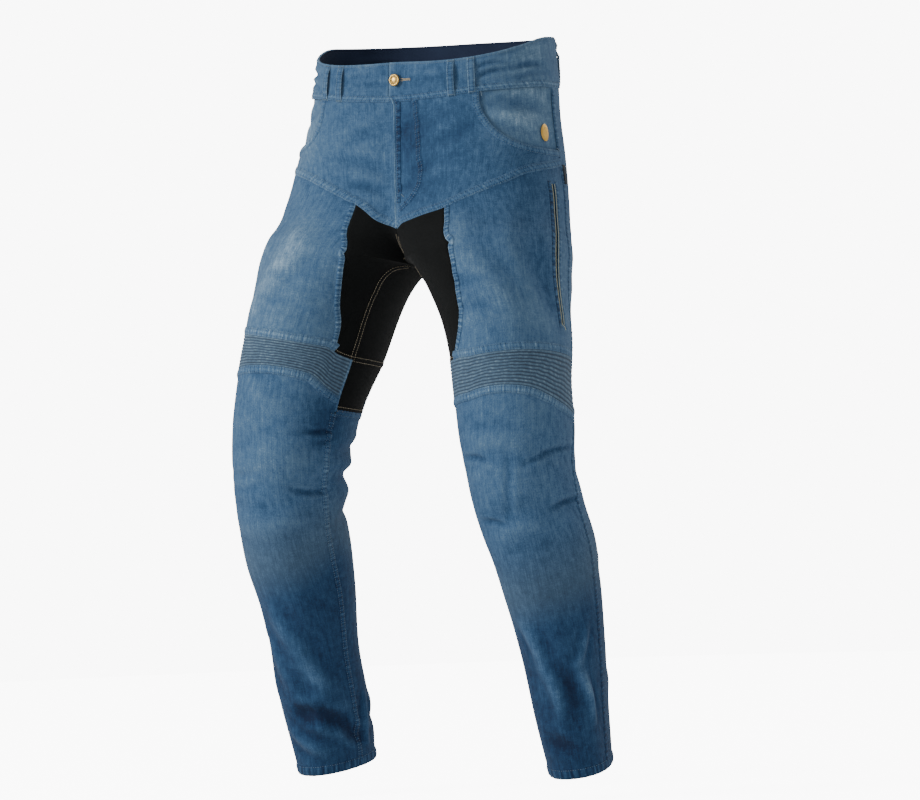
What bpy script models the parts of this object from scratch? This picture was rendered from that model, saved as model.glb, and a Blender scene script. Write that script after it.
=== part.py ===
# Motorcycle trousers in stretch denim, worn shape with nobody in them.
# Metres, Z up, front towards -Y, the wearer's left towards +X.
# The origin is the middle of the waist opening, where the trousers are held.
import bpy
import bmesh
import numpy as np
from math import cos, pi, radians, sin, tan
from mathutils import Vector

# Driving sizes
CROTCH = 0.297          # drop from waist to crotch
HEM = 1.000             # drop from waist to the middle of the hem
DENIM = 0.0015          # denim wall
BAND_WALL = 0.0030      # waistband, two layers
BAND_PROUD = 0.0008     # waistband stands this far out of the panels
STRETCH = 0.0012        # black stretch wall
SEAM_GAP = 0.00018      # each panel stops this far from its seam line
REST_GAP = 0.0003       # between a trim piece and what it lies on
TAPE_GAP = 0.00075      # between the thigh's inside and the zip tape
CREST = 0.06            # how gently the rows gather towards the crotch
SOFTEN = 0.030          # rounding of the front and back centre valleys
RIB_COUNT = 11          # raised ridges of the rib panel
RIB_RISE = 0.0014       # height of one ridge
FACING_DEPTH = 0.0018   # between the front's inside and the pocket facing
HEM_FOLD = 0.014        # height of the turned hem
HEM_PROUD = 0.0007      # the turned hem stands out this far

# One row for each level of the trousers, seen as half of a pair.
# drop: below the waist.  cx, cy: middle of the section.  gap: inner reach, below zero where
# the two halves run together.  out: outer reach.  front, back: half depths.
# tiltf, tiltb: slope of the front and back half.  roll: slope outwards.  turn: toes out.
SECTION_COLUMNS = "cx cy gap out front back tiltf tiltb roll turn power".split()
SECTIONS = [
    (-0.030, 0.060, 0.008, -0.110, 0.173, 0.101, 0.108, 16, 0, 0, 0, 2.1),
    (0.000, 0.060, 0.006, -0.110, 0.176, 0.101, 0.108, 16, 0, 0, 0, 2.1),
    (0.056, 0.062, 0.000, -0.105, 0.183, 0.099, 0.114, 10, 0, 0, 0, 2.1),
    (0.110, 0.070, -0.012, -0.095, 0.190, 0.095, 0.120, 3, 0, 0, 0, 2.1),
    (0.160, 0.080, -0.020, -0.083, 0.199, 0.096, 0.124, -3, -2, 0, 0, 2.1),
    (0.214, 0.095, -0.033, -0.070, 0.212, 0.094, 0.126, -7, -7, 0, 2, 2.0),
    (0.264, 0.112, -0.048, -0.030, 0.223, 0.100, 0.122, -9, -9, 2, 4, 2.0),
    (0.281, 0.119, -0.054, -0.009, 0.229, 0.105, 0.118, -10, -10, 4, 7, 2.0),
    (0.297, 0.124, -0.058, 0.000, 0.233, 0.107, 0.116, -10, -10, 5, 10, 2.0),
    (0.344, 0.139, -0.066, 0.048, 0.235, 0.108, 0.114, -9, -9, 7, 13, 2.0),
    (0.371, 0.148, -0.070, 0.062, 0.237, 0.107, 0.110, -9, -9, 8, 16, 2.0),
    (0.425, 0.162, -0.080, 0.080, 0.245, 0.102, 0.102, -8, -8, 9, 18, 2.0),
    (0.480, 0.174, -0.094, 0.094, 0.252, 0.093, 0.087, -6, -6, 9, 20, 2.1),
    (0.534, 0.183, -0.102, 0.104, 0.260, 0.088, 0.083, -2, -2, 8, 20, 2.1),
    (0.591, 0.190, -0.104, 0.116, 0.262, 0.083, 0.077, 6, 6, 6, 20, 2.1),
    (0.646, 0.197, -0.094, 0.124, 0.267, 0.076, 0.074, 13, 13, 4, 20, 2.1),
    (0.701, 0.202, -0.074, 0.133, 0.271, 0.074, 0.074, 17, 17, 2, 20, 2.1),
    (0.756, 0.201, -0.057, 0.137, 0.267, 0.067, 0.067, 18, 18, 0, 20, 2.1),
    (0.839, 0.203, -0.037, 0.147, 0.260, 0.061, 0.062, 17, 17, 0, 20, 2.1),
    (0.922, 0.201, -0.016, 0.151, 0.250, 0.062, 0.063, 15, 15, 0, 20, 2.1),
    (1.000, 0.201, 0.002, 0.158, 0.243, 0.059, 0.059, 12, 12, 0, 20, 2.1),
]

# Seams that run around the body: (round, drop).  round is 0 at the front centre or the
# inner leg, 0.25 front, 0.5 outside, 0.75 back and 1 at the back centre or the inner leg.
BAND_LOW = [(-0.05, 0.059), (0, 0.060), (0.15, 0.055), (0.27, 0.051), (0.40, 0.056), (0.53, 0.064),
            (0.75, 0.058), (1.0, 0.056)]
V_SEAM = [(0, 0.2597), (0.02, 0.2555), (0.06, 0.2513), (0.09, 0.2463), (0.132, 0.2389),
          (0.19, 0.2245), (0.25, 0.2095), (0.30, 0.198), (0.35, 0.189), (0.42, 0.182), (0.53, 0.172)]
RIB_TOP = [(-0.02, 0.427), (0.09, 0.427), (0.3, 0.428), (0.55, 0.430)]
BACK_LEVEL = [(0.7, 0.427), (1.1, 0.427)]
RIB_LOW = [(-0.02, 0.480), (0.1, 0.470), (0.2, 0.466), (0.3, 0.472), (0.4, 0.486), (0.55, 0.512)]
KNEE_BACK = [(0.48, 0.500), (0.7, 0.500), (0.86, 0.503), (1.0, 0.501)]

# Seams that run down: (drop, round)
FLY_EDGE = [(-0.01, 0.026), (0.060, 0.021), (0.160, 0.011), (0.2597, 0.0)]
BLACK_EDGE = [(0.2389, 0.132), (0.259, 0.143), (0.277, 0.161), (0.285, 0.172), (0.297, 0.2005), (0.307, 0.1945),
              (0.3195, 0.187), (0.331, 0.179), (0.344, 0.170), (0.366, 0.152), (0.389, 0.125), (0.407, 0.104),
              (0.427, 0.082)]
INSEAM = [(0.297, 0.0), (0.303, 0.033), (0.312, 0.050), (0.338, 0.040), (0.369, 0.021),
          (0.400, 0.004), (0.427, -0.004),
          (0.50, -0.008), (0.60, -0.018), (0.75, -0.032), (1.0, -0.045)]
SIDE_SEAM = [(0.05, 0.530), (0.43, 0.530), (0.52, 0.515), (0.65, 0.470), (0.80, 0.455), (1.0, 0.445)]
BLACK_BACK_EDGE = [(0.280, 0.870), (0.297, 0.850), (0.35, 0.828), (0.427, 0.805), (0.503, 0.860)]
GUSSET_TOP = [(0.280, 0.870), (0.268, 0.925), (0.245, 1.0)]
POCKET_MOUTH = [(0.051, 0.270), (0.078, 0.271), (0.104, 0.280), (0.122, 0.298), (0.138, 0.330),
                (0.149, 0.385), (0.154, 0.450), (0.156, 0.530)]
POCKET_INNER = [(0.051, 0.258), (0.080, 0.259), (0.108, 0.269), (0.127, 0.289), (0.142, 0.323),
                (0.153, 0.380), (0.158, 0.450), (0.160, 0.530)]

# Where seams meet: levels are drops, the others are places round
FRONT_LEVEL = 0.427     # rib top, at the inner leg
SIDE_LEVEL = 0.430      # rib top, at the side seam
KNEE_LEVEL = 0.501      # back of the knee, at the inner leg
KNEE_EDGE_LEVEL = 0.503  # back of the knee, at the black back's edge
GUSSET_LEVEL = 0.280    # where the gusset's top meets the black back's edge
SIDE_ROUND = 0.53       # side seam above the knee
EDGE_TOP = 0.132        # black front's edge at the V seam
EDGE_LOW = 0.082        # black front's edge at the rib top
BACK_EDGE_LEVEL = 0.805  # black back's edge at the rib top's level
BACK_EDGE_KNEE = 0.860  # black back's edge at the back of the knee
MOUTH_TOP = 0.270       # pocket mouth at the waistband

# The stride draws the seams round and down, more so from the front than at the sides.
# One table for each side: drop, then how far down and how far round a seam moves there.
SEAM_SHIFTS = {
    1: [(0.08, 0, 0), (0.20, 0, 0.045), (0.297, 0, 0.050), (0.427, 0.016, 0.055), (0.49, 0.020, 0.025),
        (0.62, 0.010, 0), (0.75, 0, 0)],
    -1: [(0.08, 0, 0), (0.18, -0.012, -0.040), (0.26, -0.010, -0.045), (0.297, 0, -0.050),
         (0.427, -0.014, -0.055), (0.49, -0.020, -0.025), (0.62, -0.010, 0), (0.75, 0, 0)],
}
SHIFT_ROUND = [(0.026, 0), (0.13, 1), (0.27, 1), (0.45, 0)]  # round, share of the shift round
SHIFT_HIP = [(0.026, 0), (0.13, 1), (0.53, 1), (0.75, 0.3), (1, 0)]  # round, share downwards above the crotch
SHIFT_LEG = [(0, 0.3), (0.13, 1), (0.53, 1), (0.75, 0.3)]  # round, share downwards on the leg
SHIFT_CENTRE = [(0.056, 0), (0.075, 0.015), (0.266, 0.018), (0.297, 0)]  # drop, how far the front centre moves
CENTRE_REACH = 0.13     # round where that ends

# Columns and rows of the panels, as shares of their width and height
BLACK_COLUMNS = [0, 0.33, 0.67, 1]
THIGH_COLUMNS = [0, 0.14, 0.28, 0.42, 0.56, 0.68, 0.765, 0.829, 0.851, 0.915, 1]
THIGH_ROWS = [0, 0.08, 0.19, 0.30, 0.40, 0.50, 0.60, 0.70, 0.80, 0.89, 1]
SLIT_COLUMN = 7
SLIT_ROWS = (1, 9)
KNEE_ROW = 0.016        # row height where the knee folds
LEG_ROW = 0.028         # row height elsewhere
KNEE_END = 0.670        # drop where the close rows of the knee end
TAPE_SHRINK = 0.45      # how much of its outer cells the zip tape leaves free

# Main folds: side (0 both, 1 left, -1 right), drop, round, half length, half width, depth,
# and the angle from level, in degrees.  A trough has a depth below zero.
FOLDS = [
    (-1, 0.522, 0.030, 0.034, 0.010, -0.0040, 4),
    (-1, 0.540, 0.020, 0.026, 0.008, -0.0030, 12),
    (-1, 0.598, 0.040, 0.040, 0.011, -0.0045, -6),
    (-1, 0.588, 0.270, 0.036, 0.010, -0.0030, 4),
    (-1, 0.560, 0.150, 0.045, 0.016, 0.0030, 8),
    (1, 0.566, 0.140, 0.034, 0.010, -0.0040, -10),
    (1, 0.575, 0.400, 0.040, 0.010, -0.0045, 12),
    (1, 0.638, 0.410, 0.036, 0.010, -0.0040, 14),
    (1, 0.642, 0.160, 0.034, 0.010, -0.0035, -8),
    (1, 0.606, 0.270, 0.050, 0.018, 0.0030, 6),
    (0, 0.550, 0.900, 0.050, 0.011, -0.0045, 5),
    (0, 0.571, 0.880, 0.055, 0.012, 0.0040, 0),
    (0, 0.588, 0.870, 0.050, 0.011, -0.0055, -6),
    (0, 0.615, 0.860, 0.055, 0.013, 0.0045, -4),
    (0, 0.648, 0.850, 0.045, 0.012, -0.0045, 8),
    (0, 0.560, 0.650, 0.040, 0.012, -0.0035, -12),
    (0, 0.610, 0.620, 0.040, 0.012, -0.0035, 10),
    (0, 0.870, 0.150, 0.100, 0.018, -0.0040, 72),
    (0, 0.890, 0.330, 0.090, 0.020, 0.0035, 80),
    (0, 0.900, 0.800, 0.090, 0.020, -0.0040, 96),
    (0, 0.300, 0.700, 0.060, 0.016, -0.0040, -18),
    (0, 0.330, 0.690, 0.060, 0.016, 0.0035, -14),
]

BELT_LOOPS = {                # name: (side, round, lift over the hollow at the back centre)
    "belt_loop_front_left_inner": (1, 0.190, 0.0),
    "belt_loop_front_left_outer": (1, 0.250, 0.0),
    "belt_loop_front_right_inner": (-1, 0.190, 0.0),
    "belt_loop_front_right_outer": (-1, 0.250, 0.0),
    "belt_loop_side_left": (1, 0.665, 0.0),
    "belt_loop_side_right": (-1, 0.665, 0.0),
    "belt_loop_back_left": (1, 0.965, 0.0005),
    "belt_loop_back_right": (-1, 0.965, 0.0005),
}
LOOP_WIDTH = 0.010
LOOP_TOP = 0.001
LOOP_BELOW_BAND = 0.010
LOOP_RISE = 0.0028
LOOP_WALL = 0.0016
BUTTON_DROP = 0.030
BUTTON_SEAT = 0.0009    # over the hollow of the front centre
BUTTON_RADIUS = 0.0085
BUTTON_RISE = 0.0052
BADGE = dict(drop=0.132, around=0.470, half_width=0.0085, half_height=0.012, wall=0.0012)
SIDE_TAB = dict(drop=0.187, around=0.546, half_width=0.006, half_height=0.012, wall=0.0012)

COLOURS = {
    "denim": (0.098, 0.186, 0.305, 1),
    "denim_dark": (0.040, 0.075, 0.130, 1),
    "navy": (0.012, 0.018, 0.040, 1),
    "stretch_black": (0.008, 0.008, 0.009, 1),
    "brass": (0.520, 0.330, 0.100, 1),
    "zip_black": (0.010, 0.010, 0.011, 1),
}


def clear_scene():
    for item in list(bpy.data.objects):
        bpy.data.objects.remove(item, do_unlink=True)


def material(name, roughness, metallic=0.0):
    made = bpy.data.materials.get(name) or bpy.data.materials.new(name)
    made.use_nodes = True
    shader = made.node_tree.nodes["Principled BSDF"]
    shader.inputs["Base Color"].default_value = COLOURS[name]
    shader.inputs["Roughness"].default_value = roughness
    shader.inputs["Metallic"].default_value = metallic
    made.diffuse_color = COLOURS[name]
    return made


def slopes(x, y):
    step = np.diff(x)
    rise = np.diff(y, axis=0) / step[:, None]
    share = (step[1:] / (step[1:] + step[:-1]))[:, None]
    middle = rise[:-1] * share + rise[1:] * (1 - share)
    return np.vstack([rise[:1], middle, rise[-1:]])


def smooth_read(x, y, slope, at):
    # A smooth curve through a table, read at one place or at many
    at = np.asarray(at, float)
    i = np.clip(np.searchsorted(x, at) - 1, 0, len(x) - 2)
    step = x[i + 1] - x[i]
    t = ((at - x[i]) / step)[..., None]
    step = step[..., None]
    return ((2 * t**3 - 3 * t**2 + 1) * y[i] + (t**3 - 2 * t**2 + t) * step * slope[i]
            + (3 * t**2 - 2 * t**3) * y[i + 1] + (t**3 - t**2) * step * slope[i + 1])


def seam_read(table, at):
    table = np.array(table, float)
    x, y = table[:, 0], table[:, 1:]
    return smooth_read(x, y, slopes(x, y), at)[..., 0]


def down_read(table, drop):
    # A seam that runs down turns a corner at the crotch's level, where the legs part
    table = np.array(table, float)
    upper, lower = table[table[:, 0] <= CROTCH], table[table[:, 0] >= CROTCH]
    if min(len(upper), len(lower)) < 2:
        return seam_read(table, drop)
    rows = row_of(drop)
    above, below = (smooth_read(row_of(part[:, 0]), part[:, 1:], slopes(row_of(part[:, 0]), part[:, 1:]), rows)
                    for part in (upper, lower))
    return np.where(rows < 0, above[..., 0], below[..., 0])


def row_of(drop):
    # Row coordinate: even rows in it lie close together near the crotch
    t = np.abs(np.asarray(drop, float) - CROTCH)
    return np.sign(drop - CROTCH) * (t + np.sqrt(t * t + 4 * CREST * t)) / 2


def drop_of(row):
    return CROTCH + np.sign(row) * row * row / (np.abs(row) + CREST)


def section(table, drop):
    # All values of one level.  The inner reach opens like an arch below the crotch.
    x, y = table[:, 0], table[:, 1:]
    values = smooth_read(x, y, slopes(x, y), drop)
    now = dict(zip(SECTION_COLUMNS, values))
    above = x <= CROTCH
    below = x >= CROTCH
    gaps = table[:, 3:4]
    if drop < CROTCH:
        gap = smooth_read(x[above], gaps[above], slopes(x[above], gaps[above]), drop)[0]
        now["gap"] = min(gap, 0.0)
    else:
        rows = row_of(x[below])
        gap = smooth_read(rows, gaps[below], slopes(rows, gaps[below]), row_of(drop))[0]
        now["gap"] = max(gap, 0.0)
    return now


def loop_points(now, drop, count):
    # One level as points: half a loop above the crotch, a whole loop round the leg below it
    inner = now["cx"] - now["gap"]
    outer = now["out"] - now["cx"]
    start = 0.0
    if drop < CROTCH:
        start = np.arccos(np.clip((now["cx"] / inner) ** (now["power"] / 2), -1, 1))
    angle = np.linspace(start, 2 * pi - start, count * 4 + 1)
    c, s = np.cos(angle), np.sin(angle)
    root = 2 / now["power"]
    x = -np.where(c > 0, inner, outer) * np.sign(c) * np.abs(c) ** root
    y = -np.where(s > 0, now["front"], now["back"]) * np.sign(s) * np.abs(s) ** root
    free = np.clip((drop - CROTCH) / 0.14, 0, 1)
    free = free * free * (3 - 2 * free)
    near = np.clip(2 * (x + inner) / (inner + outer), 0, 1)
    near = near * near * (3 - 2 * near)
    turn = radians(now["turn"]) * (free + (1 - free) * near)
    tx = x * np.cos(turn) - y * np.sin(turn)
    ty = x * np.sin(turn) + y * np.cos(turn)
    z = tx * tan(radians(now["roll"])) - drop
    z += np.minimum(ty, 0) * tan(radians(now["tiltf"])) + np.maximum(ty, 0) * tan(radians(now["tiltb"]))
    points = np.stack([np.maximum(tx + now["cx"], 0), ty + now["cy"], z], 1)
    length = np.r_[0, np.cumsum(np.linalg.norm(np.diff(points, axis=0), axis=1))]
    even = np.linspace(0, length[-1], count + 1)
    points = np.stack([np.interp(even, length, points[:, k]) for k in range(3)], 1)
    return points, length[-1]


def soften_centres(points, length, drop):
    # Round off the valley where the two halves meet at the front and back centre
    fade = np.clip((CROTCH - drop) / 0.05, 0, 1)
    reach = int(SOFTEN * fade / length * (len(points) - 1))
    if drop >= CROTCH or reach < 1:
        return points
    flip = np.array([-1, 1, 1])
    head = points[1:reach + 1][::-1] * flip
    tail = points[-reach - 1:-1][::-1] * flip
    wide = np.vstack([head, points, tail])
    kernel = np.hanning(2 * reach + 3)[1:-1]
    kernel /= kernel.sum()
    return np.stack([np.convolve(wide[:, k], kernel, mode="valid") for k in range(3)], 1)


def build_surface(rows=520, around=480):
    # The whole half surface as a fine lattice, with its outward normals
    table = np.array(SECTIONS, float)
    levels = np.linspace(row_of(-0.012), row_of(HEM + 0.004), rows)
    lattice = []
    for row in levels:
        drop = float(drop_of(row))
        points, length = loop_points(section(table, drop), drop, around)
        lattice.append(soften_centres(points, length, drop))
    lattice = np.array(lattice)
    across = np.gradient(lattice, axis=1)
    ends = np.stack([lattice[:, 1] - lattice[:, -2], lattice[:, 1] - lattice[:, -2]], 1)
    below = drop_of(levels) >= CROTCH
    across[below, 0] = ends[below, 0] / 2
    across[below, -1] = ends[below, 1] / 2
    down = np.gradient(lattice, axis=0)
    normal = np.cross(down, across)
    normal /= np.linalg.norm(normal, axis=2, keepdims=True) + 1e-12
    return levels, lattice, normal


LEVELS, LATTICE, NORMALS = build_surface()


def read_surface(side, drop, around):
    # Place and outward normal on one half.  Past the front centre it goes on to the other half.
    drop, around = np.broadcast_arrays(np.asarray(drop, float), np.asarray(around, float))
    leg = drop >= CROTCH
    u = np.where(leg, np.mod(around, 1.0), np.abs(around))
    u = np.where(~leg & (u > 1), 2 - u, u)
    mirror = np.where(~leg & ((around < 0) | (around > 1)), -1.0, 1.0)
    rows, columns = LATTICE.shape[0] - 1, LATTICE.shape[1] - 1
    r = np.clip((row_of(drop) - LEVELS[0]) / (LEVELS[-1] - LEVELS[0]) * rows, 0, rows - 1e-6)
    c = np.clip(u * columns, 0, columns - 1e-6)
    i, j = r.astype(int), c.astype(int)
    fr, fc = (r - i)[..., None], (c - j)[..., None]

    def blend(grid):
        top = grid[i, j] * (1 - fc) + grid[i, j + 1] * fc
        low = grid[i + 1, j] * (1 - fc) + grid[i + 1, j + 1] * fc
        return top * (1 - fr) + low * fr

    place, normal = blend(LATTICE), blend(NORMALS)
    normal = normal / np.linalg.norm(normal, axis=-1, keepdims=True)
    flip = np.stack([mirror * side, np.ones_like(mirror), np.ones_like(mirror)], -1)
    return place * flip, normal * flip


def girth(drop):
    # Rough length of one whole turn in the around direction
    return np.interp(drop, [0, 0.2, CROTCH, 0.36, 0.45, 0.6, 0.8, 1.0],
                     [0.46, 0.56, 0.72, 0.64, 0.58, 0.49, 0.41, 0.34])


def fold_depth(side, drop, around):
    total = np.zeros(np.shape(drop))
    for which, at_drop, at_round, half_long, half_wide, depth, angle in FOLDS:
        if which not in (0, side):
            continue
        turn = np.mod(around - at_round + 0.5, 1.0) - 0.5
        x = turn * girth(at_drop)
        y = drop - at_drop
        a = radians(angle)
        along = (x * cos(a) + y * sin(a)) / half_long
        across = (y * cos(a) - x * sin(a)) / half_wide
        total = total + depth * np.exp(-along**2 - across**2)
    return total


def ease(t):
    t = np.clip(t, 0, 1)
    return t * t * (3 - 2 * t)


def shift_seams(side, drop, around):
    # Places on one side after the stride has drawn its seams down and round
    table = np.array(SEAM_SHIFTS[side], float)
    stations, values = np.array(SHIFT_ROUND, float).T
    from_front = np.mod(around + 0.3, 1.0) - 0.3
    share = ease(np.interp(from_front, stations, values))
    leg = ease((drop - CROTCH - 0.02) / 0.08)
    on_leg = np.interp(np.mod(around, 1.0), *np.array(SHIFT_LEG, float).T)
    on_hip = np.interp(np.mod(around, 1.0), *np.array(SHIFT_HIP, float).T)
    down = np.interp(drop, table[:, 0], table[:, 1]) * (on_hip * (1 - leg) + on_leg * leg)
    centre = np.interp(drop, *np.array(SHIFT_CENTRE, float).T) * ease(1 - np.abs(around) / CENTRE_REACH)
    return drop + down, around + np.interp(drop, table[:, 0], table[:, 2]) * share + side * centre


def coons(top, bottom, left, right):
    # Fill a four-sided outline of (row, round) points
    columns, rows = len(top), len(left)
    a = np.linspace(0, 1, columns)[None, :, None]
    b = np.linspace(0, 1, rows)[:, None, None]
    top, bottom, left, right = (np.array(edge, float) for edge in (top, bottom, left, right))
    blend = (1 - b) * top[None] + b * bottom[None] + (1 - a) * left[:, None] + a * right[:, None]
    corners = ((1 - a) * (1 - b) * top[0] + a * (1 - b) * top[-1]
               + (1 - a) * b * bottom[0] + a * b * bottom[-1])
    return blend - corners


def go_round(seam, start, end, shares):
    # Points on a seam that runs around, as (row, round)
    u = start + (end - start) * np.array(shares, float)
    return np.stack([row_of(seam_read(seam, u)), u], 1)


def go_down(seam, start, end, shares, shift=0.0, sign=1.0):
    row = row_of(start) + (row_of(end) - row_of(start)) * np.array(shares, float)
    return np.stack([row, sign * down_read(seam, drop_of(row)) + shift], 1)


def corner(round_seam, down_seam, drop):
    # Where a seam that runs around meets one that runs down
    for _ in range(12):
        drop = float(seam_read(round_seam, seam_read(down_seam, drop)))
    return drop, float(seam_read(down_seam, drop))


def go_along(points, shares):
    # Points on a free curve given as (drop, round), evenly read by its length
    points = np.array(points, float)
    steps = np.hypot(np.diff(points[:, 0]), np.diff(points[:, 1]) * 0.5)
    length = np.r_[0, np.cumsum(steps)] / steps.sum()
    read = smooth_read(length, points, slopes(length, points), np.array(shares, float))
    return np.stack([row_of(read[:, 0]), read[:, 1]], 1)


def shares(count):
    return np.linspace(0, 1, count + 1)


def join(*edges):
    return np.vstack([edges[0]] + [edge[1:] for edge in edges[1:]])


def draw_in(points, normal, distance):
    # Move the border of a grid of points inwards, along the cloth and square to the border
    moved = points.copy()
    for axis in (0, 1):
        line = np.moveaxis(points, axis, 0)
        facing = np.moveaxis(normal, axis, 0)
        target = np.moveaxis(moved, axis, 0)
        for edge, nextto in ((0, 1), (-1, -2)):
            square = np.cross(facing[edge], np.gradient(line[edge], axis=0))
            inwards = line[nextto] - line[edge]
            square *= np.sign(np.sum(square * inwards, axis=-1, keepdims=True))
            square /= np.linalg.norm(square, axis=-1, keepdims=True) + 1e-12
            target[edge] += square * distance
    return moved


def no_relief(side, drop, around):
    return np.zeros(np.shape(drop))


def cloth_points(side, grid, wall, lift=0.0, relief=no_relief, inset=SEAM_GAP):
    # Outer and inner points of a wall that follows a grid of (row, round)
    drop, around = shift_seams(side, drop_of(grid[..., 0]), grid[..., 1])
    place, normal = read_surface(side, drop, around)
    base = place + normal * (lift + fold_depth(side, drop, around))[..., None]
    base = draw_in(base, normal, inset)
    outer = base + normal * relief(side, drop, around)[..., None]
    inner = base - normal * wall
    return outer, inner


def wall_object(name, outer, inner, cloth, open_cells=()):
    # A closed wall: a grid for the outside, extruded to the inside
    rows, columns = outer.shape[:2]
    bm = bmesh.new()
    bmesh.ops.create_grid(bm, x_segments=columns - 1, y_segments=rows - 1, size=1)
    tag = bm.verts.layers.int.new("place")
    for vert in bm.verts:
        j = round((vert.co.x + 1) / 2 * (columns - 1))
        i = round((vert.co.y + 1) / 2 * (rows - 1))
        vert[tag] = i * columns + j
    for vert in bm.verts:
        vert.co = Vector(outer[vert[tag] // columns, vert[tag] % columns])
    if open_cells:
        holes = []
        for face in bm.faces:
            cell = min(vert[tag] for vert in face.verts)
            if (cell // columns, cell % columns) in open_cells:
                holes.append(face)
        bmesh.ops.delete(bm, geom=holes, context="FACES")
    grown = bmesh.ops.extrude_face_region(bm, geom=bm.faces[:], use_keep_orig=True)
    for item in grown["geom"]:
        if isinstance(item, bmesh.types.BMVert):
            item.co = Vector(inner[item[tag] // columns, item[tag] % columns])
    bmesh.ops.recalc_face_normals(bm, faces=bm.faces[:])
    finish(name, bm, cloth)


def finish(name, bm, cloth):
    # Faces pointing out, one material, smooth but for sharp edges
    if bm.calc_volume(signed=True) < 0:
        bmesh.ops.reverse_faces(bm, faces=bm.faces[:])
    mesh = bpy.data.meshes.new(name)
    bm.to_mesh(mesh)
    bm.free()
    mesh.materials.append(cloth)
    mesh.shade_smooth()
    mesh.set_sharp_from_angle(angle=radians(45))
    bpy.context.scene.collection.objects.link(bpy.data.objects.new(name, mesh))


def hem_relief(side, drop, around):
    return np.where(drop > HEM - HEM_FOLD, HEM_PROUD, 0.0)


def leg_shares(start, end):
    # Rows of the lower leg: close at the knee, wide below, and two at the hem's fold
    drops = list(np.linspace(start, KNEE_END, round((KNEE_END - start) / KNEE_ROW) + 1))
    low = HEM - HEM_FOLD - 0.0015
    drops += list(np.linspace(KNEE_END, low, round((low - KNEE_END) / LEG_ROW) + 1)[1:])
    drops += [HEM - HEM_FOLD + 0.0005, end]
    row = row_of(np.array(drops))
    return (row - row[0]) / (row[-1] - row[0])


def suffix(side):
    return "left" if side > 0 else "right"


def thigh_grid():
    side_top = V_SEAM[-1][1]
    edge_top = BLACK_EDGE[0][0]
    top = go_round(V_SEAM, EDGE_TOP, SIDE_ROUND, THIGH_COLUMNS)
    bottom = go_round(RIB_TOP, EDGE_LOW, SIDE_ROUND, THIGH_COLUMNS)
    left = go_down(BLACK_EDGE, edge_top, FRONT_LEVEL, THIGH_ROWS)
    right = go_down(SIDE_SEAM, side_top, SIDE_LEVEL, THIGH_ROWS)
    return coons(top, bottom, left, right)


def make_hip_front(side, denim):
    # The wearer's left front laps past the centre to the fly edge, the right one stops there
    sign = -1.0 if side > 0 else 1.0
    band = float(seam_read(BAND_LOW, 0.0))
    start = sign * float(seam_read(FLY_EDGE, band))
    count = len(BLACK_COLUMNS) + len(THIGH_COLUMNS) - 2
    top = go_round(BAND_LOW, start, MOUTH_TOP, shares(count))
    over_black = go_round(V_SEAM, 0.0, EDGE_TOP, BLACK_COLUMNS)
    low = join(over_black, go_round(V_SEAM, EDGE_TOP, SIDE_ROUND, THIGH_COLUMNS))
    left = go_down(FLY_EDGE, band, V_SEAM[0][1], shares(9), sign=sign)
    below_mouth = go_down(SIDE_SEAM, POCKET_MOUTH[-1][0], V_SEAM[-1][1], shares(1))
    right = join(go_along(POCKET_MOUTH, shares(8)), below_mouth)
    grid = coons(top, low, left, right)
    outer, inner = cloth_points(side, grid, DENIM)
    wall_object("hip_front_" + suffix(side), outer, inner, denim)


def make_pocket_facing(side, denim):
    # Lies behind the pocket mouth and shows above it
    lift = -(DENIM + FACING_DEPTH)
    left = go_along(POCKET_INNER[:4], shares(5))
    low = go_along(POCKET_INNER[3:], shares(7))
    top = go_round(BAND_LOW, POCKET_INNER[0][1], SIDE_ROUND, shares(7))
    right = go_down(SIDE_SEAM, float(seam_read(BAND_LOW, SIDE_ROUND)), POCKET_INNER[-1][0], shares(5))
    outer, inner = cloth_points(side, coons(top, low, left, right), STRETCH, lift=lift)
    wall_object("pocket_facing_" + suffix(side), outer, inner, denim)
    return lift


def make_thigh(side, denim, tape):
    grid = thigh_grid()
    outer, inner = cloth_points(side, grid, DENIM)
    slit = {(row, SLIT_COLUMN) for row in range(*SLIT_ROWS)}
    wall_object("thigh_front_" + suffix(side), outer, inner, denim, slit)
    strip = grid[:, SLIT_COLUMN - 1:SLIT_COLUMN + 3].copy()
    strip[:, 0] += (strip[:, 1] - strip[:, 0]) * TAPE_SHRINK
    strip[:, -1] += (strip[:, -2] - strip[:, -1]) * TAPE_SHRINK
    strip[0] += (strip[1] - strip[0]) * TAPE_SHRINK
    strip[-1] += (strip[-2] - strip[-1]) * TAPE_SHRINK
    outer, inner = cloth_points(side, strip, STRETCH, lift=-(DENIM + TAPE_GAP))
    wall_object("vent_zip_" + suffix(side), outer, inner, tape)


def make_black_front(side, black):
    top = go_round(V_SEAM, 0.0, EDGE_TOP, BLACK_COLUMNS)
    right = go_down(BLACK_EDGE, BLACK_EDGE[0][0], FRONT_LEVEL, THIGH_ROWS)
    split = 4
    centre = np.linspace(row_of(V_SEAM[0][1]), 0.0, split + 1)
    centre = np.stack([centre, np.zeros(split + 1)], 1)
    inner_leg = go_down(INSEAM, CROTCH, FRONT_LEVEL, shares(len(THIGH_ROWS) - 1 - split))
    left = join(centre, inner_leg)
    low = go_round(RIB_TOP, 0.0, EDGE_LOW, BLACK_COLUMNS)
    outer, inner = cloth_points(side, coons(top, low, left, right), STRETCH)
    wall_object("black_front_" + suffix(side), outer, inner, black)


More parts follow.
